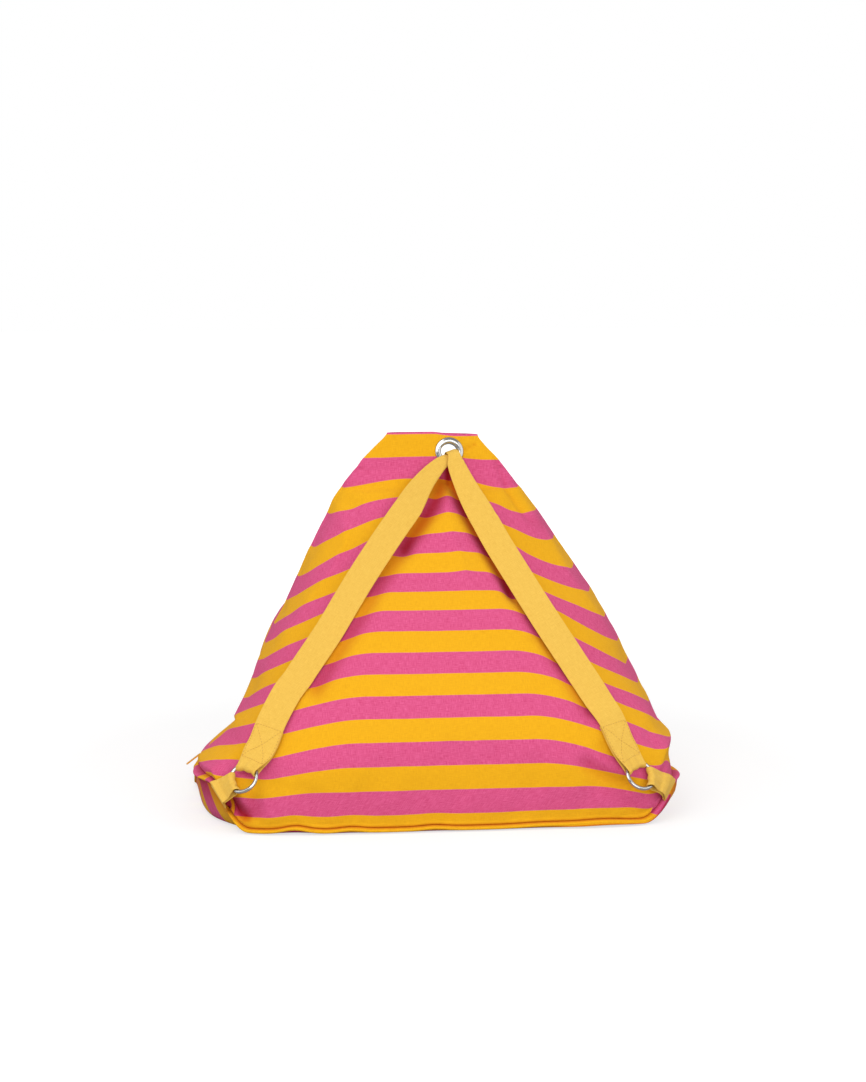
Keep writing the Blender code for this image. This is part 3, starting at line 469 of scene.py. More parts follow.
def sectionAt(rise):
    table = cover["sections"]
    rise = min(max(rise, table[0, 0]), table[-1, 0])
    k = min(int(np.searchsorted(table[:, 0], rise, side="right")) - 1, len(table) - 2)
    span = table[k + 1, 0] - table[k, 0]
    t = (rise - table[k, 0]) / span

    def slope(i):
        a, b = table[max(i - 1, 0)], table[min(i + 1, len(table) - 1)]
        return (b - a) / (b[0] - a[0]) * span

    return ((1 + 2 * t) * (1 - t) ** 2 * table[k] + t * (1 - t) ** 2 * slope(k)
            + t * t * (3 - 2 * t) * table[k + 1] + t * t * (t - 1) * slope(k + 1))


def crowd(value):
    # draws the front's columns together where its corners are
    full, shift = 2 * math.pi, cover["crowdingShift"]
    wave = np.sin(full * (value - shift)) + math.sin(full * shift)
    return value + cover["crowding"] * wave / full


def columnPlan():
    # quarter, share along it, part (0 in the middle of the front or back, 1 at a side) and side
    plan = []
    for quarter in range(4):
        count = (cover["columnsFront"] if quarter in (0, 3) else cover["columnsBack"]) // 2
        step = np.arange(count) / count
        if quarter == 0:
            step = crowd(step)
        if quarter == 3:
            step = 1 - crowd(1 - step)
        part = 1 - step if quarter in (1, 3) else step
        for s, p in zip(step, part):
            plan.append((quarter, s, p, 1 if quarter < 2 else -1))
    return np.array(plan)


plan = columnPlan()
partOf, sideOf = plan[:, 2], plan[:, 3]
atFront = (plan[:, 0] == 0) | (plan[:, 0] == 3)


def outlineRow(section, steps=1440):
    # a rounded square through the section's reaches, sampled at the columns, and its arc length
    _, front, back, left, right, squareL, squareR, squareBack = section
    angle = np.linspace(0, 2 * math.pi, steps + 1)
    s, c = np.sin(angle), np.cos(angle)
    power = np.where(c > 1e-9, np.where(s > 0, 2 / squareR, 2 / squareL), 2 / squareBack)
    x = (right - left) / 2 + (right + left) / 2 * np.sign(s) * np.abs(s) ** power
    y = -np.where(c > 0, front, back) * np.sign(c) * np.abs(c) ** power
    length = np.concatenate([[0], np.cumsum(np.hypot(np.diff(x), np.diff(y)))])
    corner = [length[k * steps // 4] for k in range(5)]
    quarter = plan[:, 0].astype(int)
    start, end = np.array(corner)[quarter], np.array(corner)[quarter + 1]
    want = start + (end - start) * plan[:, 1]
    middle = np.where(atFront, np.where(sideOf > 0, 0.0, corner[4]), corner[2])
    return np.interp(want, length, x), np.interp(want, length, y), want - middle


cornerWeight = np.where(
    atFront, between(partOf, *cover["liftFrom"]) * (1 - between(partOf, *cover["liftTo"])), 0.0)
liftOf = np.where(sideOf > 0, cover["liftRight"], cover["liftLeft"]) * cornerWeight
earShape = np.exp(-((partOf - cover["earAt"]) / cover["earSpread"]) ** 2)
earOf = np.where(atFront, cover["earReach"] * earShape, 0.0)


def clothUp(rise):
    # length of cloth up the middle of the front
    steps = np.linspace(0.0, min(rise, cover["flapBase"]), 60)
    reach = np.array([sectionAt(r)[1] for r in steps])
    length = float(np.sum(np.hypot(np.diff(steps), np.diff(reach))))
    return length + max(rise - cover["flapBase"], 0.0) / math.cos(cover["lean"])


def droopAt(rise):
    # the back isn't seen in the photo, and its stripes sink evenly from the middle to the sides
    droop = np.zeros(len(plan))
    for side, sign in (("left", -1), ("right", 1)):
        deep, first, last, low, high = cover["sink"][side]
        first += (cover["levelTo"] - first) * (1 - between(rise, 0.0, cover["levelUp"]))
        part = np.where(atFront, between(partOf, first, last), partOf ** cover["backSink"])
        droop += (sideOf == sign) * deep * part * (1 - between(rise, low, high))
    return droop


def coverRows():
    # rows from the middle of the base, out to the seam, up the walls and up the flap
    rows = []
    patch = outlineRow(cover["floorPatch"])
    seam = outlineRow(sectionAt(0.0))
    size = np.hypot(seam[0], seam[1])
    waves = sum(high * np.exp(-((seam[0] - across) / wide) ** 2) for across, high, wide in cover["waves"])
    raised = liftOf + np.where(atFront, waves, 0.0)

    def seamRow(reach, height):
        out = reach + (earOf * min(reach / cover["weltReach"], 1.0) if reach > 0 else 0.0)
        return seam[0] * (1 + out / size), seam[1] * (1 + out / size), height + raised

    foot = seamRow(cover["weltReach"] * cover["footShare"], cover["footHeight"])
    for share in cover["patchRows"]:
        rows.append({"x": patch[0] * share, "y": patch[1] * share, "z": 0.0 * patch[0], "base": True})
    # the filling pushes the base panel out under the raised seam, at the right
    swell = cover["baseSwell"] * atFront * (sideOf > 0)
    swell = swell * between(partOf, *cover["swellFrom"]) * (1 - between(partOf, *cover["swellTo"]))
    # full: how strongly painted shade darkens the base towards the seam's foot
    for t, full, out in cover["baseRows"]:
        x, y = patch[0] + (foot[0] - patch[0]) * t, patch[1] + (foot[1] - patch[1]) * t
        rows.append({"x": x + seam[0] / size * swell * out, "y": y + seam[1] / size * swell * out,
                     "z": foot[2] * t ** cover["baseCurve"], "base": True, "full": full})
    # the welt keeps one stripe along the front, and takes up the wall's beyond the corners
    droop = (droopAt(0.0) + liftOf) * between(partOf, *cover["weltCorner"])
    # at the right corner it runs across the stripes one by one
    turning = np.interp(partOf, *cover["weltRight"])
    turned = turning + (droop - turning) * between(partOf, *cover["weltBlend"])
    droop = np.where(atFront & (sideOf > 0), turned, droop)
    rows[-1]["cloth"] = droop - cover["footUnder"]
    # the groove rows carry painted shade, full being its strength
    seamRows = [(cover["weltReach"] * share, height, full) for share, height, full in cover["weltRows"]]
    seamRows += [(cover["grooveDepth"] * share, height, full) for share, height, full in cover["grooveRows"]]
    for out, height, full in seamRows:
        x, y, z = seamRow(out, height)
        rows.append({"x": x, "y": y, "z": z, "cloth": droop + height, "around": seam[2], "full": full})
    rises = list(np.arange(cover["rowsFrom"], cover["flapBase"] - cover["rowStep"] / 2, cover["rowStep"]))
    for rise in cover["lowRows"] + rises + [cover["flapBase"]]:
        section = sectionAt(rise)
        left, right = section[3:5]
        x, y, around = outlineRow(section)
        leftShare = np.clip(((right - left) / 2 - x) / ((right + left) / 2), 0.0, 1.0)
        atMid = between(rise, *cover["drawnLow"]) * (1 - between(rise, *cover["drawnHigh"]))
        x = x + cover["drawnIn"] * leftShare * between(y, *cover["drawnBack"]) * atMid
        ridge = np.exp(-(y / cover["zipWide"]) ** 2 - ((rise - cover["zipAt"]) / cover["zipHigh"]) ** 2)
        x = x - (x < 0) * cover["zipRidge"] * ridge
        level = liftOf * (1 - ease(rise / cover["liftFade"]))
        lift = level + (raised - liftOf) * (1 - ease(rise / cover["waveFade"]))
        rows.append({"x": x, "y": y, "z": rise + lift, "cloth": clothUp(rise) + droopAt(rise) + level,
                     "around": around, "free": rise < cover["freeBelow"]})
    height = cover["top"] - cover["flapBase"]
    for share in cover["flapRows"]:
        rise = cover["flapBase"] + height * share
        left, right = (np.interp(share, cover["flap"][:, 0], cover["flap"][:, k]) for k in (1, 2))
        thick = cover["flapThick"] * np.interp(share, *cover["topEdge"])
        square = 3.0 + 5.0 * ease(share * 2)
        x, y, around = outlineRow((rise, thick / 2, thick / 2, left, right, square, square, square))
        middle = cover["flapFace"] + height * share * math.tan(cover["lean"]) + cover["flapThick"] / 2
        drop = cover["tipDrop"] * between(x, *cover["tipFrom"]) * share
        rows.append({"x": x, "y": y + middle, "z": rise - drop, "cloth": clothUp(rise) + droopAt(rise),
                     "around": around})
    return rows


def makeCover():
    rows = coverRows()
    count = len(plan)
    bm, where = layRows(len(rows), count)
    for vert in bm.verts:
        column, level = where[vert.index]
        row, k = rows[level], column % count
        vert.co = Vector((row["x"][k], row["y"][k], row["z"][k])) + stand
    uv = bm.loops.layers.uv.new("cloth")
    front = -cover["sections"][0, 1]
    baseCount = sum("base" in row for row in rows)
    for face in bm.faces:
        places = [where[loop.vert.index] for loop in face.loops]
        onBase = min(level for _, level in places) < baseCount - 1
        for loop, (column, level) in zip(face.loops, places):
            row, k = rows[level], column % count
            if onBase:
                # the base panel's stripes run along the front seam
                across, along = row["x"][k], row["y"][k] - front + canvasLook["start"]
            else:
                across, along = row["around"][k] if "around" in row else row["x"][k], row["cloth"][k]
            loop[uv].uv = (across, along)
    held = bm.verts.layers.deform.verify()
    # painted shade: each point carries how strongly its colour is darkened
    fold = bm.verts.layers.float.new("fold")
    for vert in bm.verts:
        column, level = where[vert.index]
        atSideSeam = partOf[column % count] > cover["sideSeam"]
        vert[held][0] = 0.0 if rows[level].get("free", False) and not atSideSeam else 1.0
        vert[fold] = rows[level].get("full", 0.0)
    bmesh.ops.remove_doubles(bm, verts=bm.verts, dist=0.00002)
    boundary = [edge for edge in bm.edges if edge.is_boundary]
    bmesh.ops.holes_fill(bm, edges=boundary, sides=0)
    bmesh.ops.recalc_face_normals(bm, faces=bm.faces)
    piece = addPiece("coverCloth", bm, canvas)
    piece.vertex_groups.new(name="held")
    return piece


def inflate(piece):
    # swells the free cloth between its seams, and lets no point leave its shape by more than the cap
    mesh = piece.data
    shape, normals = readMesh(mesh, "co"), readMesh(mesh, "normal")
    group = piece.vertex_groups["held"].index
    free = np.array([1.0 - sum(g.weight for g in v.groups if g.group == group) for v in mesh.vertices])
    start = shape - normals * cover["shrink"] * free[:, None]
    mesh.vertices.foreach_set("co", start.ravel())
    cloth = piece.modifiers.new("swell", "CLOTH")
    cloth.settings.quality = 5
    cloth.settings.mass = 0.3
    cloth.settings.tension_stiffness = 25
    cloth.settings.compression_stiffness = 25
    cloth.settings.shear_stiffness = 15
    cloth.settings.bending_stiffness = 1.5
    cloth.settings.shrink_min = -0.012
    cloth.settings.vertex_group_mass = "held"
    cloth.settings.use_pressure = True
    cloth.settings.uniform_pressure_force = 4.0
    cloth.settings.effector_weights.gravity = 0.0
    cloth.collision_settings.use_self_collision = False
    cloth.point_cache.frame_start = 1
    cloth.point_cache.frame_end = cover["frames"]
    scene = bpy.context.scene
    for number in range(1, cover["frames"] + 1):
        scene.frame_set(number)
    graph = bpy.context.evaluated_depsgraph_get()
    swollen = readMesh(piece.evaluated_get(graph).data, "co")
    piece.modifiers.remove(cloth)
    scene.frame_set(1)
    move = swollen - shape
    length = np.linalg.norm(move, axis=1)
    print("cover swelled by up to", round(float(length.max()) * 1000, 1), "mm, on average",
          round(float(length.mean()) * 1000, 2), "mm")
    move *= (np.tanh(length / cover["cap"]) * cover["cap"] / np.maximum(length, 1e-9))[:, None]
    final = shape + move - normals * cover["settle"] * free[:, None]
    mesh.vertices.foreach_set("co", final.ravel())
    mesh.update()


def pressFolds(piece):
    # the folds come after the swelling, so that it doesn't push them out again
    mesh = piece.data
    points, normals = readMesh(mesh, "co"), readMesh(mesh, "normal")
    count = len(points)
    spots = points[:, [0, 2]] - (stand.x, 0.0)
    total, foldPaintedShade = np.zeros(count), np.zeros(count)
    for depth, wide, full, line in cover["folds"]:
        nearest = np.full(count, 9.0)
        for a, b in zip(np.array(line), np.array(line)[1:]):
            along = np.clip((spots - a) @ (b - a) / ((b - a) @ (b - a)), 0.0, 1.0)
            nearest = np.minimum(nearest, np.linalg.norm(spots - a - along[:, None] * (b - a), axis=1))
        ratio = nearest / wide
        # a hollow is round, and a ridge comes to a soft edge
        total += depth * (np.exp(-ratio ** 2) if depth > 0 else np.exp(0.25 - np.sqrt(ratio ** 2 + 0.0625)))
        # painted shade, strongest along the middle of each fold
        foldPaintedShade = np.maximum(foldPaintedShade, full * np.exp(-ratio ** 2))
    # they are the front's alone, and run out before the side walls and the seam
    frontEnd = np.interp(points[:, 2], *cover["foldHeights"])
    facing = between(frontEnd - points[:, 1], 0.0, cover["foldEnd"]) * (normals[:, 1] < cover["foldTurn"])
    facing = facing * (points[:, 2] > cover["foldFloor"])
    overSeam = points[:, 2] - np.interp(spots[:, 0], *cover["seamHeights"])
    total *= facing * between(overSeam, *cover["foldSeam"])
    points -= normals * total[:, None]
    mesh.vertices.foreach_set("co", points.ravel())
    # the folds' painted shade joins the painted shade of the seam rows
    seamPaintedShade = np.empty(count)
    fold = mesh.attributes["fold"].data
    fold.foreach_get("value", seamPaintedShade)
    fold.foreach_set("value", np.maximum(foldPaintedShade * facing, seamPaintedShade))
    mesh.update()


def flapFrame():
    lean = cover["lean"]
    across = Vector((1, 0, 0))
    up = Vector((0, math.sin(lean), math.cos(lean)))
    out = Vector((0, -math.cos(lean), math.sin(lean)))
    rise = eyelet["at"][1] - cover["flapBase"]
    centre = Vector((eyelet["at"][0], cover["flapFace"] + rise * math.tan(lean), eyelet["at"][1]))
    return centre + stand, across, up, out


def cutEyeletHole(piece):
    # opens both layers under the eyelet's flanges, and joins the two openings
    centre, across, up, out = flapFrame()
    bm = bmesh.new()
    bm.from_mesh(piece.data)
    bm.verts.ensure_lookup_table()
    inside = []
    for face in bm.faces:
        offset = face.calc_center_median() - centre
        fromAxis = math.hypot(offset.dot(across), offset.dot(up))
        if abs(offset.dot(out)) < cover["cutReach"] and fromAxis < cover["cut"]:
            inside.append(face)
    bmesh.ops.delete(bm, geom=inside, context="FACES")
    rim = [edge for edge in bm.edges if edge.is_boundary]
    bmesh.ops.bridge_loops(bm, edges=rim)
    bmesh.ops.recalc_face_normals(bm, faces=bm.faces)
    bm.to_mesh(piece.data)
    bm.free()
    piece.data.shade_smooth()


eyelet = {
    # place across and up, radii of the hole, the barrel and the flanges, and depth through the cloth
    "at": (0.0390, 0.4514), "hole": 0.0113, "barrel": 0.0121, "flange": 0.0195, "height": 0.0029,
    "backFlange": 0.0175, "backThick": 0.0014, "depth": 0.0073, "gap": 0.0004, "steps": 96, "turns": 16,
    # a fine pressed ring on the flange: depth and half width, and share of the way to its rim
    "pressed": 0.0005, "pressedAt": 0.45, "round": 0.9,
    # how far the profile's corners are set in
    "lipIn": 0.0006, "lipDown": 0.0002, "holeOut": 0.0012, "backIn": 0.0010, "backEdge": 0.0004,
}

coverCloth = makeCover()
inflate(coverCloth)
pressFolds(coverCloth)
addFiner(coverCloth)
cutEyeletHole(coverCloth)
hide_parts("cover_body", "top_flap")
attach(coverCloth, "root")
overCloth = BVHTree.FromObject(coverCloth, bpy.context.evaluated_depsgraph_get())
print("cover made:", len(coverCloth.data.polygons), "faces")


# eyelet

def makeEyelet():
    look = eyelet
    front, back = look["gap"], -look["depth"] - look["gap"]
    rim = (look["flange"] - look["hole"]) / 2
    middle = (look["flange"] + look["hole"]) / 2
    profile = [(look["barrel"], back), (look["barrel"], front - look["lipDown"]),
               (look["flange"] - look["lipIn"], front)]
    for i in range(look["turns"] + 1):
        angle = math.pi * i / look["turns"]
        radius = middle + rim * math.cos(angle)
        height = front + look["gap"] + look["height"] * math.sin(angle) ** look["round"]
        fromRing = (radius - middle - rim * look["pressedAt"]) / look["pressed"]
        profile.append((radius, height - look["pressed"] * math.exp(-fromRing ** 2)))
    under = back - look["backThick"]
    profile += [(look["hole"], back), (look["hole"] + look["holeOut"], under),
                (look["backFlange"] - look["backIn"], under),
                (look["backFlange"], back - look["backThick"] / 2),
                (look["backFlange"] - look["backEdge"], back)]
    bm = bmesh.new()
    verts = [bm.verts.new((radius, 0, height)) for radius, height in profile]
    edges = [bm.edges.new((verts[i], verts[(i + 1) % len(verts)])) for i in range(len(verts))]
    bmesh.ops.spin(bm, geom=verts + edges, axis=(0, 0, 1), cent=(0, 0, 0), angle=2 * math.pi,
                   steps=look["steps"], use_merge=True)
    bmesh.ops.remove_doubles(bm, verts=bm.verts, dist=0.00001)
    placeAt(bm, *flapFrame())
    bmesh.ops.recalc_face_normals(bm, faces=bm.faces)
    return addPiece("eyeletSteel", bm, steel)


eyeletSteel = makeEyelet()
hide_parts("eyelet")
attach(eyeletSteel, "root")
print("eyelet made")


# rings

rings = {
    "radius": 0.0186, "wire": 0.0024, "gap": 0.0006, "straight": 0.55, "gather": 0.0011, "turnSteps": 12,
    "left": {"centre": (-0.2521, -0.2820, 0.0712), "facing": (-0.417, -0.676, 0.608),
             "strapWidth": 0.0345, "tabWidth": 0.0290},
    "right": {"centre": (0.2526, -0.2900, 0.0639), "facing": (0.290, -0.725, 0.620),
              "strapWidth": 0.0340, "tabWidth": 0.0290},
}


def ringFrame(side):
    centre = Vector(rings[side]["centre"]) + stand
    facing = Vector(rings[side]["facing"]).normalized()
    level = facing.cross(Vector((0, 0, 1))).normalized()
    return centre, facing, level, facing.cross(level)


def makeRing(side):
    centre, facing, level, rise = ringFrame(side)
    bm = bmesh.new()
    wire = bmesh.ops.create_circle(bm, segments=24, radius=rings["wire"])["verts"]
    bmesh.ops.rotate(bm, verts=wire, cent=(0, 0, 0), matrix=Matrix.Rotation(math.pi / 2, 3, "X"))
    bmesh.ops.translate(bm, verts=wire, vec=(rings["radius"], 0, 0))
    bmesh.ops.spin(bm, geom=bm.verts[:] + bm.edges[:], axis=(0, 0, 1), cent=(0, 0, 0),
                   angle=2 * math.pi, steps=128, use_merge=True)
    bmesh.ops.remove_doubles(bm, verts=bm.verts, dist=0.00001)
    placeAt(bm, centre, level, rise, facing)
    bmesh.ops.recalc_face_normals(bm, faces=bm.faces)
    ring = addPiece("ring" + side.title() + "Steel", bm, steel)
    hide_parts("ring_" + side)
    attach(ring, "root")
    return ring


for side in ("left", "right"):
    makeRing(side)
print("rings made")


# webbing: straps and tabs

webbing = {
    "width": 0.0380, "thick": 0.0013, "layers": 0.0027, "ply": 0.00125, "points": 25, "step": 0.0050,
    # distance off the cloth, the end that is sewn back behind the ring, and where the strap is free
    "clear": 0.0021, "returned": 0.0660, "sewnTo": (0.0660, 0.1160), "pucker": 0.0280, "peek": 0.0005,
    "freeBelow": 0.4133,
    # the straps are taut, and lie more squarely to the front than the cloth does
    "flatTo": (-0.10, -0.98, 0.17), "flatFrom": (0.04, 0.13), "flatter": {"left": 3.0, "right": 1.4},
    # across, up, distance in front of the cloth, width, thickness
    "leftStops": [(0.0010, 0.4099, 0.0182, 0.0300, 0.0024), (-0.0205, 0.3863, 0.0217, 0.0375, 0.0020),
                  (-0.0570, 0.3430, 0.0190, 0.0380, 0.0019), (-0.0983, 0.2892, 0.0175, 0.0380, 0.0019),
                  (-0.1350, 0.2363, 0.0127, 0.0380, 0.0019), (-0.1730, 0.1831, 0.0106, 0.0380, 0.0019),
                  (-0.2100, 0.1331, 0.0116, 0.0380, 0.0019), (-0.2270, 0.1071, 0.0135, 0.0380, 0.0019)],
    "rightStops": [(0.0562, 0.4161, 0.0216, 0.0290, 0.0028), (0.0696, 0.3844, 0.0263, 0.0360, 0.0020),
                   (0.0907, 0.3425, 0.0225, 0.0380, 0.0019), (0.1146, 0.3013, 0.0204, 0.0380, 0.0019),
                   (0.1444, 0.2506, 0.0141, 0.0380, 0.0019), (0.1855, 0.1850, 0.0104, 0.0380, 0.0019),
                   (0.2196, 0.1281, 0.0112, 0.0380, 0.0019), (0.2298, 0.1041, 0.0125, 0.0380, 0.0019)],
    # in the eyelet: out along its axis, across and up from its middle, width, thickness, roll in degrees
    "leftThread": [(-0.0175, 0.0000, -0.0160, 0.0130, 0.0034, 0),
                   (-0.0155, -0.0006, -0.0090, 0.0100, 0.0032, 4),
                   (-0.0095, -0.0012, -0.0068, 0.0084, 0.0032, 10),
                   (0.0030, -0.0016, -0.0068, 0.0084, 0.0032, 6),
                   (0.0078, -0.0052, -0.0100, 0.0120, 0.0032, -12),
                   (0.0102, -0.0122, -0.0168, 0.0190, 0.0028, -28)],
    "rightThread": [(-0.0265, 0.0020, -0.0160, 0.0170, 0.0036, 5),
                    (-0.0235, 0.0018, -0.0060, 0.0155, 0.0036, 10),
                    (-0.0140, 0.0012, 0.0002, 0.0145, 0.0036, 18),
                    (0.0030, 0.0012, 0.0002, 0.0145, 0.0036, 20),
                    (0.0085, 0.0028, -0.0014, 0.0155, 0.0036, 20),
                    (0.0135, 0.0052, -0.0080, 0.0180, 0.0036, 12),
                    (0.0150, 0.0078, -0.0180, 0.0235, 0.0034, 4)],
    # the loop that hangs behind the flap, and its turn at the foot in degrees
    "bightDrop": 0.0900, "bightOff": 0.0055, "bightSpace": 0.0095, "bightRise": 0.0200,
    "bightSpread": 0.0020, "bight": [(0.0370, 0.0019), (0.0340, 0.0021), (0.0240, 0.0028)],
    "bightTurn": (14.0, 50.0, 90.0, 135.0),
    # half a thickness of tape as it lies in a loop, and how the rows look for the cloth below them
    "half": 0.00095, "lookBack": 0.0200, "looks": (-1.0, -0.6, -0.2, 0.2, 0.6, 1.0),
    # the tabs' roots in the base seam, and how far their two ends go down into it
    "tabGap": 0.0018, "tabLay": 0.00065, "tabSunk": (0.0045, 0.0072), "tabSinkFrom": 0.80, "tabSteps": 22,
    "leftRoot": {"place": (-0.2840, -0.2660, 0.0440), "seam": (0.473, -0.500, -0.622),
                 "out": (-0.52, -0.76, 0.38)},
    "rightRoot": {"place": (0.2970, -0.2620, 0.0345), "seam": (-0.540, -0.640, -0.550),
                  "out": (0.58, -0.74, 0.34)},
}
shares = np.linspace(-1, 1, webbing["points"])


def flatRow(station, ripple=0.0):
    # webbing drawn narrower than its own width folds its right part behind
    centre, sideWay, normal, width, thick = station
    full = webbing["width"]
    points = []
    for share in shares:
        along = (share + 1) / 2 * full
        if width > full * 0.98:
            points.append(centre + sideWay * (share * width / 2))
            continue
        layer = int(along / width + 1e-6)
        rest = along - layer * width
        across = rest if layer % 2 == 0 else width - rest
        depth = sum(ease((along - k * width) / (3 * webbing["ply"]) + 0.5)
                    for k in range(1, int(full / width) + 1)) * webbing["ply"]
        points.append(centre + sideWay * (across - width / 2)
                      + normal * (thick / 2 - webbing["ply"] / 2 - depth))
    return points


def ringRow(side, radial, along, turn, width):
    centre, facing = ringFrame(side)[:2]
    half = rings["radius"] * math.sin(width / 2 / rings["radius"])
    edge = math.sqrt(rings["radius"] ** 2 - half ** 2)
    points = []
    for share in shares:
        # the loop's end is nearly straight, and gathered, so it follows the wire's curve only in part
        gathers = rings["gather"] * (0.5 + 0.5 * math.sin(share * 8.0 + 1.0))
        reach = rings["wire"] + rings["gap"] + webbing["half"] + gathers
        level = math.sqrt(rings["radius"] ** 2 - (share * half) ** 2)
        level += (edge - level) * rings["straight"]
        points.append(centre + along * (share * half) + radial * (level - reach * math.sin(turn))
                      + facing * reach * math.cos(turn))
    return points


def ringTurns(side, goal, sideways, width):
    # rows half way round the ring's wire, from the face that looks out to the one behind
    centre, facing = ringFrame(side)[:2]
    arrive = goal - centre
    radial = (arrive - facing * arrive.dot(facing)).normalized()
    along = facing.cross(radial).normalized()
    if along.dot(sideways) < 0:
        along = -along
    lean = math.atan2(-arrive.dot(facing), arrive.dot(radial) - rings["radius"])
    steps = rings["turnSteps"]
    return [ringRow(side, radial, along, math.pi * i / steps - lean, width) for i in range(steps + 1)]


def middleOf(points):
    return sum(points, Vector()) / len(points)


def blendRow(first, second, share, centre):
    a, b = middleOf(first), middleOf(second)
    return [centre + (p - a).lerp(q - b, share) for p, q in zip(first, second)]


def curveThrough(points, step):
    # a smooth curve through the stops, which carries their widths and thicknesses along
    found = []
    ends = [points[0]] + list(points) + [points[-1]]
    for a, b, c, d in zip(ends, ends[1:], ends[2:], ends[3:]):
        count = max(1, round(math.dist(b[:3], c[:3]) / step))
        for i in range(count):
            t = i / count
            found.append([0.5 * (2 * q + (r - p) * t + (2 * p - 5 * q + 4 * r - s) * t * t
                                 + (3 * q - p - 3 * r + s) * t ** 3) for p, q, r, s in zip(a, b, c, d)])
    found.append(list(points[-1]))
    return found


def keepOff(station, clearance):
    # pushes a row off the cover until none of its places is nearer than the clearance
    centre, sideWay, normal, width, thick = station
    for _ in range(5):
        worst, push = 0.0, Vector((0, 0, 0))
        for share in webbing["looks"]:
            point = centre + sideWay * width / 2 * share
            near, up = overCloth.find_nearest(point)[:2]
            lack = clearance + thick / 2 - (point - near).dot(up)
            if lack > worst:
                worst, push = lack, up * lack
        centre = centre + push
    return (centre, sideWay, normal, width, thick)


def strapPath(side):
    # a strap's stops: the loop behind the flap, through the eyelet, and down the front
    centre, across, up, out = flapFrame()
    rows = []
    foot = eyelet["at"][1] - webbing["bightDrop"]

    def hanging(rise, off):
        behind = Vector((eyelet["at"][0] + stand.x, 1.0, rise))
        return underCloth.ray_cast(behind, Vector((0, -1, 0)))[0] + Vector((0, off, 0))

    off = webbing["bightOff"]
    inner, outer = hanging(foot, off), hanging(foot, off + webbing["bightSpace"])
    if side == "left":
        down = (inner - hanging(foot + webbing["bightRise"], off)).normalized()
        half = (outer - inner) / 2
        for angle in webbing["bightTurn"]:
            turn = math.radians(angle)
            place = (inner + outer) / 2 + half * math.cos(turn) + down * half.length * math.sin(turn)
            rows.append((*place, *webbing["bight"][0], 0.0))
    else:
        off += webbing["bightSpace"]
    for i, size in enumerate(webbing["bight"]):
        spot = hanging(foot + webbing["bightRise"] * i, off + webbing["bightSpread"] * i)
        rows.append((*spot, *size, 0.0))
    for outward, sideways, upward, width, thick, roll in webbing[side + "Thread"]:
        rows.append((*(centre + out * outward + across * sideways + up * upward), width, thick, roll))
    gathered = len(rows)
    for x, z, off, width, thick in webbing[side + "Stops"]:
        behind = underCloth.ray_cast(Vector((x + stand.x, -1.0, z)), Vector((0, 1, 0)))[0]
        rows.append((x + stand.x, behind.y - off, z, width, thick, 0.0))
    return rows, gathered


def squaredUp(stations):
    # evens out how the rows turn, and sets each square to the run
    last = len(stations) - 1
    for _ in range(6):
        sides = [s[1] for s in stations]
        sums = [sides[max(i - 1, 0)] + sides[i] * 2 + sides[min(i + 1, last)] for i in range(last + 1)]
        stations = [(s[0], total.normalized(), *s[2:]) for s, total in zip(stations, sums)]
    found = []
    for i, (centre, sideWay, _, width, thick) in enumerate(stations):
        run = (stations[min(i + 1, last)][0] - stations[max(i - 1, 0)][0]).normalized()
        sideWay = (sideWay - run * sideWay.dot(run)).normalized()
        found.append((centre, sideWay, sideWay.cross(run).normalized(), width, thick))
    return found


